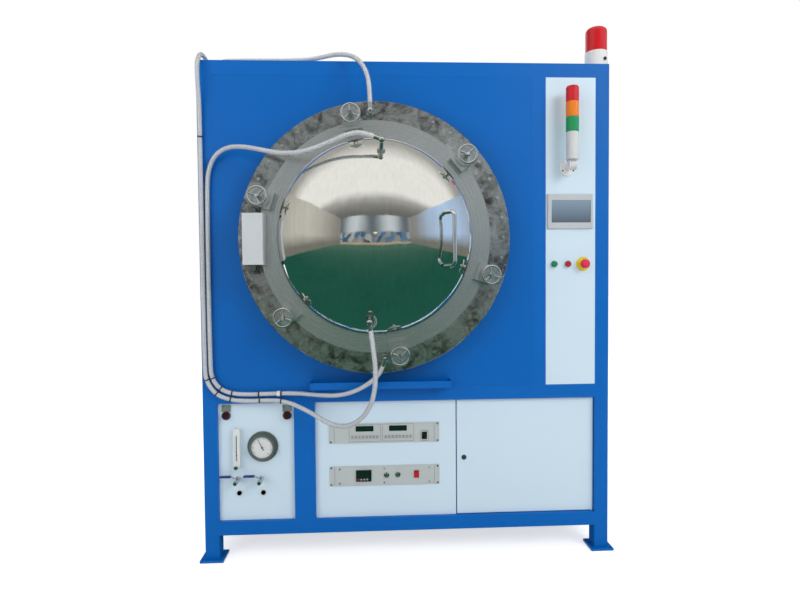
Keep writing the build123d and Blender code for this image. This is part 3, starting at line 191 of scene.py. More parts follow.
def shade(colour, factor):
    return tuple(min(1.0, channel * factor) for channel in colour)


def painted(name, colour, rough=0.35, peel=0.12, spread=0.06, **sockets):
    """Sprayed paint: faint orange peel, slow colour drift and a few duller patches."""
    finish = Finish(name, colour, rough, **sockets)
    drift = finish.noise(1.7, 4)
    finish.colour(finish.mix(drift, shade(colour, 1 - spread), shade(colour, 1 + spread)))
    finish.rough(finish.span(finish.noise(9, 2), 0.2, 0.8, rough * 0.92, rough * 1.08))
    finish.bump(finish.noise(420, 2), peel, 0.0003)
    return finish


def plastic(name, colour, rough=0.3, grain=0.05, **sockets):
    """Moulded plastic with a fine grain."""
    finish = Finish(name, colour, rough, **sockets)
    finish.colour(finish.mix(finish.noise(30, 2), shade(colour, 0.94), shade(colour, 1.06)))
    finish.rough(finish.span(finish.noise(60, 3), 0.3, 0.7, rough * 0.8, rough * 1.25))
    finish.bump(finish.noise(1800, 1), grain, 0.0003)
    return finish


def metallic(name, colour, rough=0.2, smear=0.1, scale=14, **sockets):
    """Bare metal with smears in its polish and fine scratches."""
    finish = Finish(name, colour, rough, 1.0, **sockets)
    smears = finish.noise(scale, 6, 0.65)
    finish.colour(finish.mix(smears, shade(colour, 1 - smear), shade(colour, 1 + smear)))
    finish.rough(finish.span(smears, 0.3, 0.75, rough * 0.6, rough * 1.5))
    finish.bump(finish.noise(900, 2), 0.04, 0.0002)
    return finish


BLUE = (0.0, 0.13, 0.50)
WHITE = (0.62, 0.765, 0.87)
STEEL = (0.62, 0.61, 0.58)
CHROME = (0.78, 0.78, 0.77)

frame_blue = painted("frame_blue", BLUE, 0.34, Specular_IOR_Level=0.22)
panel_blue = painted("panel_blue", shade(BLUE, 0.97), 0.32, Specular_IOR_Level=0.22)
panel_white = painted("panel_white", WHITE, 0.42, 0.05, 0.02, Specular_IOR_Level=0.3)

# Body flange: polished plate with oily smears, stains and scratches
flange_metal = Finish("flange_metal", STEEL, 0.2, 1.0)
stain = flange_metal.noise(7, 8, 0.7, distortion=1.4)
patches = flange_metal.noise(24, 6, 0.7, distortion=0.8)
flange_metal.colour(flange_metal.mix(
    flange_metal.span(patches, 0.42, 0.62), flange_metal.ramp(stain, [
        (0.34, (0.07, 0.065, 0.06)), (0.46, (0.24, 0.23, 0.21)), (0.56, (0.55, 0.54, 0.51)),
        (0.68, (0.88, 0.86, 0.80))]), (0.60, 0.60, 0.58)))
flange_metal.rough(flange_metal.span(patches, 0.3, 0.75, 0.1, 0.42))
flange_metal.bump(flange_metal.noise(11, 3), 0.35, 0.004)
flange_metal.bump(flange_metal.rings(900), 0.1, 0.0003)

# Door flange: turned face with concentric tool marks
turned_metal = Finish("turned_metal", (0.66, 0.65, 0.61), 0.3, 1.0)
marks = turned_metal.rings(320)
clouds = turned_metal.noise(5, 5, 0.6)
turned_metal.colour(turned_metal.mix(
    marks, turned_metal.mix(clouds, (0.50, 0.50, 0.48), (0.84, 0.84, 0.82)), (0.88, 0.88, 0.86)))
turned_metal.rough(turned_metal.span(marks, 0.3, 0.7, 0.24, 0.42))
turned_metal.bump(marks, 0.3, 0.0004)

# Dished door: mirror polish with faint polishing rings and streaks
mirror_metal = Finish("mirror_metal", (0.82, 0.82, 0.80), 0.05, 1.0)
polish = mirror_metal.noise(60, 4, 0.6, mirror_metal.stretched((1, 1, 0.12)))
mirror_metal.colour(mirror_metal.mix(polish, (0.70, 0.70, 0.67), (0.88, 0.88, 0.87)))
mirror_metal.rough(mirror_metal.span(polish, 0.3, 0.8, 0.03, 0.11))
mirror_metal.bump(mirror_metal.noise(3.2, 3), 0.5, 0.006)
mirror_metal.bump(mirror_metal.rings(240), 0.05, 0.0004)

chrome = metallic("chrome", CHROME, 0.1, 0.06, 40)
bright_steel = metallic("bright_steel", (0.66, 0.66, 0.64), 0.22, 0.14, 60)
dark_steel = metallic("dark_steel", (0.30, 0.29, 0.27), 0.28, 0.2, 50)
vessel_steel = metallic("vessel_steel", (0.5, 0.5, 0.48), 0.35, 0.15, 9)
copper = metallic("copper", (0.60, 0.28, 0.14), 0.3, 0.15, 40)
cover_grey = painted("cover_grey", (0.56, 0.60, 0.62), 0.4, 0.1, 0.05)
rubber = plastic("rubber", (0.02, 0.02, 0.021), 0.65, 0.3)
felt = plastic("felt", (0.035, 0.035, 0.037), 0.9, 0.8)
graphite = metallic("graphite", (0.12, 0.12, 0.13), 0.45, 0.2, 90)
machine_grey = painted("machine_grey", (0.22, 0.25, 0.27), 0.45)
bezel_green = painted("bezel_green", (0.10, 0.135, 0.12), 0.3, 0.05)
screen_grey = plastic("screen_grey", (0.50, 0.53, 0.56), 0.4)
rack_beige = painted("rack_beige", (0.50, 0.54, 0.54), 0.45, 0.1, 0.02)
white_plastic = plastic("white_plastic", (0.80, 0.80, 0.80), 0.3)
black_plastic = plastic("black_plastic", (0.012, 0.012, 0.014), 0.3)
red_plastic = plastic("red_plastic", (0.55, 0.012, 0.02), 0.2)
stop_pink = plastic("stop_pink", (0.72, 0.03, 0.09), 0.22)
green_plastic = plastic("green_plastic", (0.005, 0.24, 0.09), 0.2)
knob_dark = plastic("knob_dark", (0.045, 0.006, 0.008), 0.18, 0.02, Coat_Weight=0.6, Coat_Roughness=0.05)
grip_blue = plastic("grip_blue", (0.004, 0.03, 0.22), 0.3)

# Collars: bright rings round the push buttons and a yellow one round the emergency stop
collar = metallic("collar", CHROME, 0.15, 0.05, 60)
yellow_side = collar.math("GREATER_THAN", collar.axis("X"), 0.73)
collar.colour(collar.mix(yellow_side, CHROME, (0.78, 0.62, 0.02)))
collar.metal(collar.math("SUBTRACT", 1.0, yellow_side))

# Gas fittings: pale acrylic flowmeter above, bright valves in the middle, black ports below
acrylic_low, port_high = 0.395, 0.305
gas_metal = metallic("gas_metal", (0.66, 0.66, 0.64), 0.2, 0.1, 80)
height = gas_metal.axis("Z")
is_acrylic = gas_metal.math("GREATER_THAN", height, acrylic_low)
is_port = gas_metal.math("LESS_THAN", height, port_high)
gas_metal.colour(gas_metal.mix(is_port, gas_metal.mix(is_acrylic, (0.66, 0.66, 0.64), (0.72, 0.76, 0.76)),
                               (0.01, 0.01, 0.012)))
gas_metal.metal(gas_metal.math("SUBTRACT", 1.0, gas_metal.math("ADD", is_acrylic, is_port)))

# Signal tower and beacon: coloured lenses over a pale base
def banded(name, low_colour, bands, rough):
    """Plastic whose colour changes at given heights, in metres."""
    finish = plastic(name, low_colour, rough)
    up, colour = finish.axis("Z"), low_colour
    for level, band in bands:
        colour = finish.mix(finish.math("GREATER_THAN", up, level), colour, band)
    return finish.colour(colour)


tower_lamps = banded("tower_lamps", (0.62, 0.64, 0.63), [
    (1.828, (0.01, 0.30, 0.10)), (1.891, (0.85, 0.22, 0.01)), (1.955, (0.62, 0.012, 0.02))], 0.22)
beacon_lens = banded("beacon_lens", (0.75, 0.76, 0.76), [(2.205, (0.60, 0.008, 0.015))], 0.14)

node_finishes = {
    "frame_posts": frame_blue, "frame_rails": frame_blue, "foot_plates": frame_blue,
    "front_panel": panel_blue, "drip_ledge": frame_blue, "cladding_panels": panel_blue,
    "power_leads": copper, "floor_tray": panel_blue, "vessel_cradle": frame_blue,
    "control_panel": panel_white, "valve_panel": panel_white, "instrument_panel": panel_white,
    "cabinet_door": panel_white, "body_flange": flange_metal, "door_seal": rubber,
    "chamber_shell": vessel_steel, "cooling_jacket": vessel_steel, "insulation": felt,
    "door_insulation": felt, "heating_elements": graphite, "hearth": graphite,
    "vacuum_pump": machine_grey, "power_transformer": machine_grey, "hinge_bracket": dark_steel,
    "water_fittings": bright_steel, "door_fittings": bright_steel, "gauge_case": bezel_green,
    "gas_fittings": gas_metal, "touch_panel": screen_grey, "button_collars": collar,
    "rack_units": rack_beige, "signal_mount": white_plastic, "beacon": beacon_lens,
    "door_flange": turned_metal, "door_dome": mirror_metal, "door_handle": chrome,
    "door_hinge_arm": bright_steel, "hinge_cover": cover_grey, "signal_tower": tower_lamps,
    "cabinet_lock": chrome, "start_button": green_plastic, "stop_button": red_plastic,
    "emergency_stop": stop_pink, "rocker_switch_1": black_plastic, "rocker_switch_2": red_plastic,
    "valve_lever_1": bright_steel, "valve_lever_2": bright_steel, "needle_knob": chrome,
    "gauge_pointer": black_plastic, "latch_knob_1": knob_dark, "latch_knob_2": knob_dark}
for number in range(1, 7):
    node_finishes[f"handwheel_{number}"] = chrome
for name, finish in node_finishes.items():
    slots = node(name).material_slots
    if not slots:
        node(name).data.materials.append(finish.material)
    for slot in slots:
        slot.material = finish.material


# Pieces are built in one bmesh each
class Piece:
    """Collects simple closed forms in one mesh, then becomes an object that rides on a body."""

    def __init__(self):
        self.mesh = bmesh.new()

    def block(self, low, high, turn=None):
        low, high = Vector(low), Vector(high)
        made = bmesh.ops.create_cube(self.mesh, size=1)["verts"]
        bmesh.ops.scale(self.mesh, vec=high - low, verts=made)
        if turn:
            bmesh.ops.transform(self.mesh, matrix=turn, verts=made)
        bmesh.ops.translate(self.mesh, vec=(low + high) / 2, verts=made)
        return self

    def lathe(self, centre, axis, profile, steps=48):
        """Turns (radius, height) pairs about a line; heights go along the axis."""
        spin = Vector(axis).normalized().to_track_quat("Z", "Y").to_matrix()
        rows = []
        for radius, height in profile:
            if radius < 1e-7:
                rows.append([self.mesh.verts.new(Vector(centre) + spin @ Vector((0, 0, height)))])
                continue
            rows.append([self.mesh.verts.new(Vector(centre) + spin @ Vector(
                (radius * cos(2 * pi * i / steps), radius * sin(2 * pi * i / steps), height)))
                for i in range(steps)])
        for lower, upper in zip(rows, rows[1:]):
            for i in range(steps):
                ring = [lower[i % len(lower)], lower[(i + 1) % len(lower)],
                        upper[(i + 1) % len(upper)], upper[i % len(upper)]]
                corners = list(dict.fromkeys(ring))
                if len(corners) > 2:
                    self.mesh.faces.new(corners)
        for row, flip in ((rows[0], True), (rows[-1], False)):
            if len(row) > 1 and profile[0] != profile[-1]:
                self.mesh.faces.new(row[::-1] if flip else row)
        return self

    def ring(self, centre, axis, inner, outer, low, high, steps=64):
        """A flat-sided washer."""
        profile = [(inner, low), (outer, low), (outer, high), (inner, high)]
        spin = Vector(axis).normalized().to_track_quat("Z", "Y").to_matrix()
        rows = [[self.mesh.verts.new(Vector(centre) + spin @ Vector(
            (radius * cos(2 * pi * i / steps), radius * sin(2 * pi * i / steps), height)))
            for i in range(steps)] for radius, height in profile]
        for first, second in zip(rows, rows[1:] + rows[:1]):
            for i in range(steps):
                k = (i + 1) % steps
                self.mesh.faces.new((first[i], first[k], second[k], second[i]))
        return self

    def prism(self, outline, origin, x_dir, y_dir, depth):
        """Extrudes a flat outline along x_dir × y_dir."""
        x_dir, y_dir = Vector(x_dir), Vector(y_dir)
        rise = x_dir.cross(y_dir).normalized() * depth
        base = [self.mesh.verts.new(Vector(origin) + x_dir * x + y_dir * y) for x, y in outline]
        top = [self.mesh.verts.new(v.co + rise) for v in base]
        self.mesh.faces.new(base[::-1])
        self.mesh.faces.new(top)
        for i in range(len(base)):
            k = (i + 1) % len(base)
            self.mesh.faces.new((base[i], base[k], top[k], top[i]))
        return self

    def tube(self, path, radius, sides=10, closed=False):
        """A round tube along a path, with frames carried from point to point."""
        frames = carried_frames(path, closed)
        rings = []
        for point, (normal, binormal) in zip(path, frames):
            rings.append([self.mesh.verts.new(
                point + radius * (cos(2 * pi * i / sides) * normal + sin(2 * pi * i / sides) * binormal))
                for i in range(sides)])
        pairs = list(zip(rings, rings[1:])) + ([(rings[-1], rings[0])] if closed else [])
        for lower, upper in pairs:
            for i in range(sides):
                k = (i + 1) % sides
                self.mesh.faces.new((lower[i], lower[k], upper[k], upper[i]))
        if not closed:
            self.mesh.faces.new(rings[0][::-1])
            self.mesh.faces.new(rings[-1])
        return self

    def done(self, name, finish, body, slot, bevel=0.0, smooth=True, segments=2):
        bmesh.ops.recalc_face_normals(self.mesh, faces=self.mesh.faces)
        data = bpy.data.meshes.new(name)
        self.mesh.to_mesh(data)
        self.mesh.free()
        data.materials.append(finish.material)
        made = bpy.data.objects.new(name, data)
        bpy.context.collection.objects.link(made)
        if smooth:
            data.polygons.foreach_set("use_smooth", [True] * len(data.polygons))
            data.set_sharp_from_angle(angle=radians(35))
        if bevel:
            cut = made.modifiers.new("bevel", "BEVEL")
            cut.width = bevel
            cut.segments = segments
            cut.limit_method = "ANGLE"
            cut.angle_limit = radians(40)
        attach(made, body)
        return made


def carried_frames(path, closed=False):
    """A normal and a binormal at every point, turned as little as possible from one to the next."""
    count = len(path)
    tangents = []
    for i in range(count):
        before = path[i - 1] if i or closed else path[0]
        following = path[(i + 1) % count] if i + 1 < count or closed else path[-1]
        tangents.append((following - before).normalized())
    start = Vector((0, 0, 1)) if abs(tangents[0].z) < 0.9 else Vector((1, 0, 0))
    normal = (start - tangents[0] * start.dot(tangents[0])).normalized()
    frames = []
    for tangent in tangents:
        normal = (normal - tangent * normal.dot(tangent)).normalized()
        frames.append((normal, tangent.cross(normal)))
    return frames


# Hoses
hose_radius = 10 * MM
link_route = [
    (-141, -287, 1746), (-186, -287, 1764), (-245, -274, 1757), (-325, -250, 1727), (-420, -218, 1702),
    (-515, -180, 1708), (-600, -135, 1735), (-680, -88, 1758), (-750, -48, 1764), (-806, -25, 1737),
    (-836, -16, 1680), (-845, -13, 1600), (-846, -13, 850), (-838, -14, 795), (-808, -15, 752),
    (-760, -15, 731), (-690, -14, 725), (-590, -15, 727), (-490, -20, 729), (-390, -36, 722),
    (-300, -62, 722), (-222, -86, 747), (-160, -108, 788), (-124, -123, 826), (-113, -128, 857)]
supply_route = [
    (-868, 330, 2152), (-868, 250, 2152), (-867, 170, 2158), (-868, 98, 2174), (-868, 32, 2178),
    (-868, -12, 2152), (-868, -38, 2108), (-868, -38, 2050), (-868, -20, 1960), (-869, -13, 1860),
    (-870, -13, 850), (-862, -14, 783), (-825, -15, 729), (-765, -15, 703), (-690, -14, 697),
    (-610, -16, 699), (-530, -24, 697), (-430, -54, 660), (-345, -92, 614), (-271, -134, 606),
    (-207, -176, 644), (-162, -214, 712), (-145, -246, 790), (-143, -266, 870), (-151, -276, 945),
    (-160, -279, 1015)]
return_route = [
    (-155, -128, 1925), (-156, -124, 1985), (-166, -108, 2050), (-192, -78, 2108), (-236, -36, 2152),
    (-300, 2, 2170), (-370, 24, 2162), (-450, 32, 2152.5), (-720, 34, 2151.5), (-783, 45, 2152),
    (-826, 86, 2152), (-842, 145, 2152.5), (-843.5, 250, 2152), (-843.5, 330, 2152)]

clear_vinyl = Finish("clear_vinyl", (0.86, 0.89, 0.91), 0.12, 0.0, Alpha=0.28, IOR=1.5)
clear_vinyl.rough(clear_vinyl.span(clear_vinyl.noise(50, 3), 0.3, 0.7, 0.08, 0.2))
clear_vinyl.bump(clear_vinyl.noise(260, 2), 0.15, 0.0006)
liner_vinyl = plastic("liner_vinyl", (0.62, 0.65, 0.69), 0.25, 0.02)
coil_steel = metallic("coil_steel", (0.72, 0.71, 0.70), 0.2, 0.08, 90)


def route_curve(name, route, radius=0.0):
    data = bpy.data.curves.new(name, "CURVE")
    data.dimensions = "3D"
    data.bevel_depth = radius
    data.bevel_resolution = 6
    data.use_fill_caps = radius > 0
    spline = data.splines.new("NURBS")
    spline.points.add(len(route) - 1)
    for point, place in zip(spline.points, route):
        point.co = (*at(*place), 1)
    spline.order_u = 3
    spline.use_endpoint_u = True
    spline.resolution_u = 16
    made = bpy.data.objects.new(name, data)
    bpy.context.collection.objects.link(made)
    return made


def centre_line(route):
    """Points along the route's spline, as Blender gives them for the curve with no bevel."""
    bare = route_curve("bare_route", route)
    data = bpy.data.meshes.new_from_object(bare)
    points = [v.co.copy() for v in data.vertices]
    curve_data = bare.data
    bpy.data.objects.remove(bare)
    bpy.data.curves.remove(curve_data)
    bpy.data.meshes.remove(data)
    return points


def even_steps(points, step):
    """The same line with points a fixed distance apart."""
    made, left = [points[0].copy()], step
    for start, end in zip(points, points[1:]):
        run = end - start
        done_part = 0.0
        while run.length - done_part >= left:
            done_part += left
            made.append(start + run.normalized() * done_part)
            left = step
        left -= run.length - done_part
    return made


coil_pitch = 5.5 * MM
coil_wire = 0.55 * MM
coil_reach = 8.7 * MM
liner_radius = 8.0 * MM
hose_lines = {}


def clear_hose(name, route):
    line = centre_line(route)
    hose_lines[name] = line
    length = sum((b - a).length for a, b in zip(line, line[1:]))
    sleeve = route_curve(name + "_sleeve", route, hose_radius)
    sleeve.data.materials.append(clear_vinyl.material)
    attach(sleeve, "furnace")
    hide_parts(name)
    liner = Piece().tube(even_steps(line, 9 * MM), liner_radius, 16).done(
        name + "_liner", liner_vinyl, "furnace", "clear_hose")
    fine = even_steps(line, coil_pitch / 9)
    turns = [2 * pi * i / 9 for i in range(len(fine))]
    helix = [point + coil_reach * (cos(turn) * normal + sin(turn) * binormal)
             for point, turn, (normal, binormal) in zip(fine, turns, carried_frames(fine))]
    coil = Piece().tube(helix, coil_wire, 5).done(name + "_coil", coil_steel, "furnace", "clear_hose")
    return length


hose_lengths = {name: clear_hose(name, route) for name, route in (
    ("hose_link", link_route), ("hose_supply", supply_route), ("hose_return", return_route))}
print({name: round(length, 3) for name, length in hose_lengths.items()})


# Small pieces on the fronts
AHEAD = (0, -1, 0)
paper = plastic("paper", (0.74, 0.75, 0.75), 0.45)
ink = plastic("ink", (0.015, 0.016, 0.018), 0.5)
key_grey = plastic("key_grey", (0.34, 0.35, 0.34), 0.4)
display = plastic("display", (0.006, 0.022, 0.014), 0.12)
glass = Finish("glass", (0.9, 0.95, 0.95), 0.05, 0.0, Alpha=0.12)
glass.rough(glass.span(glass.noise(20, 2), 0.3, 0.7, 0.03, 0.08))
screen = Finish("screen", (0.22, 0.30, 0.38), 0.12)
screen.colour(screen.mix(screen.span(screen.axis("Z"), 1.453, 1.55), (0.10, 0.13, 0.17), (0.24, 0.33, 0.42)))
low_face, rack_face = 15, 12
flange_face = -90
dial_face = -4.05
flow_face = -10
latch_face = 11


def disc(piece, x, ahead, z, radius, height, steps=32, crown=0.0):
    """A round head that stands out towards the viewer."""
    profile = [(radius, 0), (radius, height - crown), (radius - crown, height), (0, height)]
    return piece.lathe(at(x, ahead, z), AHEAD, [(r * MM, h * MM) for r, h in profile], steps)


def plate(piece, x0, x1, z0, z1, face, height):
    return piece.block(at(x0, face - height, z0), at(x1, face, z1))


def outline_frame(piece, x0, x1, z0, z1, face, line=0.9):
    for low, high in (((x0, z0), (x1, z0 + line)), ((x0, z1 - line), (x1, z1)),
                      ((x0, z0), (x0 + line, z1)), ((x1 - line, z0), (x1, z1))):
        plate(piece, low[0], high[0], low[1], high[1], face, 0.3)


# Bolts of the body flange
bolts, vessel_x, vessel_z = Piece(), -138, 1382
bolt_count, bolt_circle, washer_thick, fitting_clear = 40, 534, 1.2, 42
fittings = ((-113, 866), (-155, 1916))
for step in range(bolt_count):
    turn = radians(360 / bolt_count * step)
    x, z = vessel_x + bolt_circle * cos(turn), vessel_z + bolt_circle * sin(turn)
    if min(hypot(x - place_x, z - place_z) for place_x, place_z in fittings) > fitting_clear:
        disc(bolts, x, flange_face, z, 7.5, washer_thick, 24)
        disc(bolts, x, flange_face - washer_thick, z, 6.4, 5, 6, 0.8)
bolts.done("flange_bolts", bright_steel, "furnace", "fitting_steel", smooth=False)

# Gauge: dial, ticks and glass
gauge_x, gauge_z = -635, 492
dial = disc(Piece(), gauge_x, dial_face, gauge_z, 45.6, 0.4, 64)
dial.done("gauge_dial", paper, "furnace", "screen_grey")
ticks, tick_count, tick_step, tick_end = Piece(), 41, 6.5, 42.5 * MM
for step in range(tick_count):
    turn = radians(212 - tick_step * step)
    start, half = (34 * MM, 0.7 * MM) if step % 5 == 0 else (38 * MM, 0.3 * MM)
    ticks.prism([(start, -half), (tick_end, -half), (tick_end, half), (start, half)],
                at(gauge_x, -4.4, gauge_z), (cos(turn), 0, sin(turn)), (-sin(turn), 0, cos(turn)), 0.2 * MM)
ticks.done("gauge_ticks", ink, "furnace", "knob_dark", smooth=False)
disc(Piece(), gauge_x, -10.6, gauge_z, 45.7, 0.8, 64).done("gauge_glass", glass, "furnace", "screen_grey")
rim = Piece()
for step in range(3):
    turn = radians(90 + 120 * step)
    disc(rim, gauge_x + 59.5 * cos(turn), 7, gauge_z + 59.5 * sin(turn), 3, 1.6, 20, 0.5)
rim.done("gauge_screws", bright_steel, "furnace", "fitting_steel")

# Flowmeter: bore, scale, float and a bare plate
flow = Piece()
plate(flow, -744.6, -741.4, 436, 546, flow_face, 0.4)
for step in range(12):
    plate(flow, -752, -747 if step % 2 else -745.5, 442 + 8.6 * step, 442.9 + 8.6 * step, flow_face, 0.3)
flow.done("flow_scale", ink, "furnace", "knob_dark", smooth=False)
disc(Piece(), -743, -10.4, 462, 3.2, 1.2, 20, 0.8).done("flow_float", red_plastic, "furnace", "button_red")
plate(Piece(), -754, -732, 551, 572, flow_face, 0.5).done(
    "flow_plate", paper, "furnace", "screen_grey", 0.0002)

# Grips of the valve levers, collars of the ports
for number, x in ((1, -742), (2, -641)):
    Piece().block(at(x - 74, -20, 366.6), at(x - 26, -4, 374.6)).done(
        f"lever_grip_{number}", grip_blue, f"valve_lever_{number}", "knob_dark", 0.0022, segments=3)
collars = Piece()
for x in (-739, -636):
    collars.ring(at(x, low_face, 290), AHEAD, 10.2 * MM, 13 * MM, 0, 1.4 * MM, 40)
collars.done("port_collars", white_plastic, "furnace", "screen_grey", 0.0003)

# Latch plates with their screws
latch_paint = painted("latch_paint", (0.20, 0.24, 0.22), 0.35, 0.05)
latch_covers, latch_screws = Piece(), Piece()
for x, z in ((-789, 629.7), (-528.8, 626.7)):
    plate(latch_covers, x - 20, x + 20, z + 16, z + 46, latch_face, 0.5)
    latch_covers.ring(at(x, latch_face, z), AHEAD, 4.6 * MM, 20 * MM, 0, 0.5 * MM, 48)
    for shift in (-12, 12):
        disc(latch_screws, x + shift, latch_face - 0.5, z + 38, 3, 1.2, 20, 0.5)
latch_covers.done("latch_covers", latch_paint, "furnace", "bezel_green", smooth=False)
latch_screws.done("latch_screws", dark_steel, "furnace", "fitting_steel")

# Upper rack instrument: two display modules with key rows, the rocker's outline and the ear screws
marks, keys, windows, screws = Piece(), Piece(), Piece(), Piece()
key_count, key_pitch, key_width = 8, 15.6, 11
for left in (-262, -116):
    outline_frame(marks, left, left + 138, 503, 579, rack_face)
    plate(windows, left + 29, left + 107, 548, 572, rack_face, 1.2)
    for step in range(key_count):
        key_left = left + 8.5 + key_pitch * step
        plate(keys, key_left, key_left + key_width, 516, 530, rack_face, 2.0)
outline_frame(marks, 50, 86, 502, 549, rack_face)
for x in (-327, 111):
    for top in (584, 396):
        plate(marks, x, x + 1, top - 84, top - 4, rack_face, 0.25)
for x in (-341, 125.6):
    for middle_z in (539.95, 351.95):
        for shift in (-37, 37):
            disc(screws, x, rack_face, middle_z + shift, 4, 2.2, 24, 0.8)

# Lower rack instrument: raised front, controller, sockets and screws
sub = Piece()
for x0, x1, z0, z1 in ((-312, 12, 314, 390), (52, 96, 314, 390), (12, 52, 314, 333), (12, 52, 375, 390)):
    plate(sub, x0, x1, z0, z1, rack_face, 1.5)
sub.done("rack_sub_panel", rack_beige, "furnace", "rack_beige", smooth=False)
for x in (-304, -110, 88):
    for z in (321, 383):
        disc(screws, x, rack_face - 1.5, z, 3.2, 1.8, 24, 0.6)
plate(windows, -233, -166, 328, 378, rack_face, 6)
readout = Piece()
plate(readout, -226, -174, 352, 370, rack_face - 6, 0.4)
readout.done("rack_readout", display, "furnace", "screen_grey", smooth=False)
for step in range(1, 4):
    plate(keys, -227 + 13 * step, -219 + 13 * step, 334, 341, rack_face - 6, 1.2)
plate(Piece(), -227, -219, 334, 341, rack_face - 6, 1.2).done(
    "rack_red_key", red_plastic, "furnace", "button_red", 0.0004)
sockets = Piece()
for x, z in ((-100, 354), (-50, 355)):
    disc(sockets, x, rack_face - 1.5, z, 12, 2.5, 48, 0.8)
    sockets.ring(at(x, rack_face - 4, z), AHEAD, 5.5 * MM, 8.5 * MM, 0, 5 * MM, 40)
sockets.done("rack_sockets", bright_steel, "furnace", "fitting_steel", 0.0003)
marks.done("rack_marks", ink, "furnace", "knob_dark", smooth=False)
keys.done("rack_keys", key_grey, "furnace", "rack_beige", 0.0006)
windows.done("rack_windows", display, "furnace", "screen_grey", 0.0005)
screws.done("rack_screws", dark_steel, "furnace", "fitting_steel")

# Touch panel's screen, beacon's knob and tower mount's screws
Piece().block(at(628.8, -6.6, 1453.2), at(802.2, -5.9, 1549.8)).done(
    "touch_screen", screen, "furnace", "screen_grey", 0.0003)
knob_profile = [(0.007, 0), (0.007, 0.006), (0.005, 0.008), (0, 0.008)]
Piece().lathe(at(867, 7, 2166), (0.38, -0.92, 0), knob_profile, 24).done(
    "beacon_knob", black_plastic, "furnace", "knob_dark")
mount_screws = Piece()
for turn in (90, 210, 330):
    disc(mount_screws, 700 + 27 * cos(radians(turn)), -10, 1690 + 27 * sin(radians(turn)), 3.4, 1.6, 20, 0.6)
mount_screws.done("mount_screws", black_plastic, "furnace", "knob_dark")


# Cable ties round the hoses, and the white clip
def tie(name, place, finish, width, near=22):
    made, target = Piece(), at(*place)
    for line in hose_lines.values():
        index = min(range(1, len(line) - 1), key=lambda i: (line[i] - target).length)
        if (line[index] - target).length < near * MM:
            run = line[index + 1] - line[index - 1]
            made.ring(line[index], run, 9.7 * MM, 11.4 * MM, -width / 2 * MM, width / 2 * MM, 32)
    made.done(name, finish, "furnace", "knob_dark", 0.0003)


for number, place in enumerate((
        (-869, -16, 1802), (-850, -14, 792), (-812, -15, 740), (-760, -15, 717), (-640, -16, 713),
        (-545, -18, 714)), start=1):
    tie(f"tie_{number}", place, black_plastic, 5)
tie("hose_clip", (-561, -16, 727), white_plastic, 14, 16)


# Stage: white floor and, for reflections only, the hall in front of the furnace
def stage_plane(name, corners, finish):
    data = bpy.data.meshes.new(name)
    data.from_pydata([tuple(c) for c in corners], [], [(0, 1, 2, 3)])
    data.materials.append(finish.material)
    made = bpy.data.objects.new(name, data)
    bpy.context.collection.objects.link(made)
    return made


def floor_finish():
    finish = Finish("floor", (0.8, 0.8, 0.8), 0.9)
    glow = finish.add("ShaderNodeEmission", None, Color=(1, 1, 1, 1))
    path = finish.add("ShaderNodeLightPath")
    seen = finish.math("MAXIMUM", path.outputs["Is Camera Ray"], finish.math(
        "MAXIMUM", path.outputs["Is Glossy Ray"], path.outputs["Is Transmission Ray"]))
    finish.feed(glow.inputs["Strength"], finish.math("MULTIPLY", seen, 0.62))
    both = finish.add("ShaderNodeAddShader")
    finish.feed(both.inputs[0], finish.shader.outputs[0])
    finish.feed(both.inputs[1], glow.outputs[0])
    finish.feed(finish.tree.nodes["Material Output"].inputs["Surface"], both.outputs[0])
    return finish


reach = 40.0
stage_plane("floor", [(-reach, -reach, 0), (reach, -reach, 0), (reach, reach, 0), (-reach, reach, 0)],
            floor_finish())


def glow_finish(name, colour_socket_maker, strength):
    """An emitting card whose colour comes from a pattern."""
    finish = Finish(name, (0, 0, 0), 1.0)
    glow = finish.add("ShaderNodeEmission", None, Strength=strength)
    finish.feed(glow.inputs["Color"], colour_socket_maker(finish))
    finish.feed(finish.tree.nodes["Material Output"].inputs["Surface"], glow.outputs[0])
    return finish


def reflected_only(card):
    card.visible_camera = False
    card.visible_diffuse = False
    card.visible_transmission = False
    card.visible_volume_scatter = False
    card.visible_shadow = False


def hall_floor(finish):
    worn = finish.noise(0.9, 5)
    near = finish.span(finish.axis("Y"), front - 9, front - 1.5)
    return finish.mix(near, finish.mix(worn, (0.10, 0.17, 0.14), (0.05, 0.16, 0.11)),
                      finish.mix(worn, (0.012, 0.075, 0.05), (0.02, 0.12, 0.08)))


def hall_wall(finish):
    low_band = finish.math("LESS_THAN", finish.axis("Z"), 0.45)
    blocks = finish.add("ShaderNodeTexVoronoi", {"distance": "CHEBYCHEV"}, Scale=0.8,
                        Vector=finish.stretched((1, 0, 0.8)))
    shade_of = finish.add("ShaderNodeRGBToBW", None, Color=blocks.outputs["Color"]).outputs[0]
    machines = finish.ramp(shade_of, [
        (0.15, (0.03, 0.06, 0.10)), (0.4, (0.06, 0.18, 0.34)), (0.6, (0.24, 0.24, 0.22)),
        (0.85, (0.45, 0.46, 0.45))])
    windows = finish.add("ShaderNodeTexWave", {"bands_direction": "X"}, Scale=0.7, Distortion=0.4)
    upper = finish.mix(windows.outputs["Fac"], (0.14, 0.17, 0.19), (0.62, 0.68, 0.72))
    above_machines = finish.span(finish.axis("Z"), 2.6, 2.9)
    body = finish.mix(above_machines, machines, upper)
    return finish.mix(low_band, body, (0.50, 0.40, 0.26))


def hall_roof(finish):
    beams = finish.add("ShaderNodeTexWave", {"bands_direction": "Y"}, Scale=0.3, Distortion=0.6, Detail=2)
    return finish.ramp(beams.outputs["Fac"], [
        (0.0, (0.16, 0.16, 0.15)), (0.45, (0.28, 0.28, 0.26)), (0.7, (0.45, 0.45, 0.42)),
        (0.9, (0.95, 0.95, 0.9))])


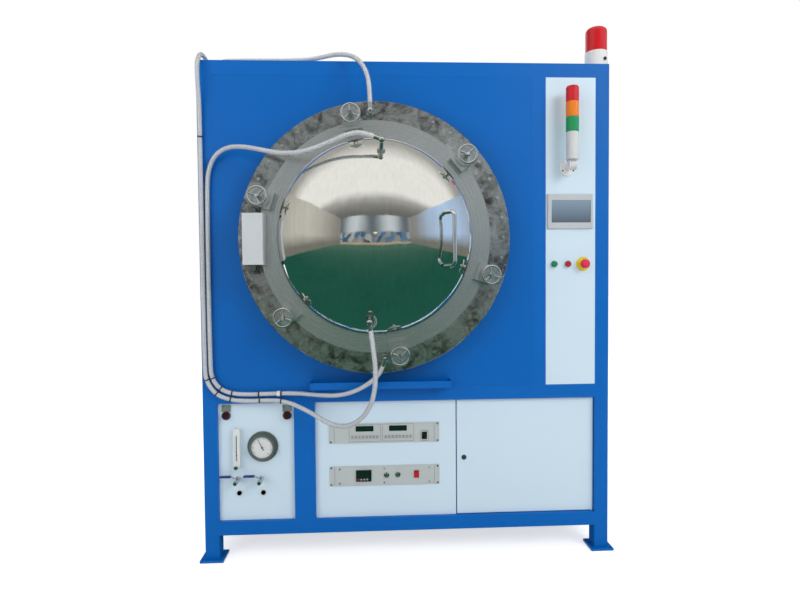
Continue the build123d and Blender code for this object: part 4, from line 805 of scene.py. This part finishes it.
def hall_side(finish):
    bays = finish.add("ShaderNodeTexWave", {"bands_direction": "Y"}, Scale=0.3, Distortion=0.5)
    low = finish.span(finish.axis("Z"), 0.8, 2.2)
    right_side = finish.math("GREATER_THAN", finish.axis("X"), 0.0)
    glass = finish.mix(right_side, (0.60, 0.58, 0.52), (0.50, 0.68, 0.95))
    return finish.mix(low, (0.20, 0.20, 0.17), finish.mix(bays.outputs["Fac"], (0.28, 0.27, 0.24), glass))


hall_x, hall_near, hall_far, hall_top = 9.0, front + 1.2, front - 14.0, 6.5
cards = [
    ("hall_floor", hall_floor, [(-hall_x, hall_far, 0.01), (hall_x, hall_far, 0.01),
                                (hall_x, hall_near, 0.01), (-hall_x, hall_near, 0.01)]),
    ("hall_wall", hall_wall, [(-hall_x, hall_far, 0), (hall_x, hall_far, 0), (hall_x, hall_far, hall_top),
                              (-hall_x, hall_far, hall_top)]),
    ("hall_roof", hall_roof, [(-hall_x, hall_far, hall_top), (hall_x, hall_far, hall_top),
                              (hall_x, front + 6.0, hall_top), (-hall_x, front + 6.0, hall_top)])]
for card_side, sign in (("left", -1), ("right", 1)):
    cards.append(("hall_" + card_side, hall_side, [
        (sign * hall_x, hall_far, 0), (sign * hall_x, front + 6.0, 0), (sign * hall_x, front + 6.0, hall_top),
        (sign * hall_x, hall_far, hall_top)]))
for name, pattern, corners in cards:
    reflected_only(stage_plane(name, corners, glow_finish(name, pattern, 1.0)))


# Light
def lamp(name, place, target, size, power):
    data = bpy.data.lights.new(name, "AREA")
    data.shape = "RECTANGLE"
    data.size, data.size_y = size
    data.energy = power
    made = bpy.data.objects.new(name, data)
    bpy.context.collection.objects.link(made)
    made.location = place
    made.rotation_euler = (Vector(target) - Vector(place)).to_track_quat("-Z", "Y").to_euler()
    made.visible_glossy = False
    return made


lamp("key", (3.2, front - 3.2, 3.6), (0, front, 1.2), (2.5, 2.5), 105)
lamp("fill", (-3.4, front - 3.4, 2.2), (-0.2, front, 1.0), (3.0, 3.0), 55)
lamp("top", (0.0, 0.2, 5.0), (0, 0, 0), (4.0, 4.0), 65)
lamp("back", (0.0, 5.0, 3.0), (0, 0, 1.2), (4.0, 3.0), 120)

world = bpy.data.worlds.new("world")
bpy.context.scene.world = world
world.use_nodes = True
background = world.node_tree.nodes["Background"]
background.inputs["Color"].default_value = (1, 1, 1, 1)
light_path = world.node_tree.nodes.new("ShaderNodeLightPath")
seen_white = world.node_tree.nodes.new("ShaderNodeMath")
seen_white.operation = "MAXIMUM"
any_gloss = world.node_tree.nodes.new("ShaderNodeMath")
any_gloss.operation = "MAXIMUM"
strength = world.node_tree.nodes.new("ShaderNodeMapRange")
strength.inputs["To Min"].default_value = 0.50
strength.inputs["To Max"].default_value = 1.0
link = world.node_tree.links.new
link(light_path.outputs["Is Glossy Ray"], any_gloss.inputs[0])
link(light_path.outputs["Is Transmission Ray"], any_gloss.inputs[1])
link(light_path.outputs["Is Camera Ray"], seen_white.inputs[0])
link(any_gloss.outputs[0], seen_white.inputs[1])
link(seen_white.outputs[0], strength.inputs["Value"])
link(strength.outputs["Result"], background.inputs["Strength"])
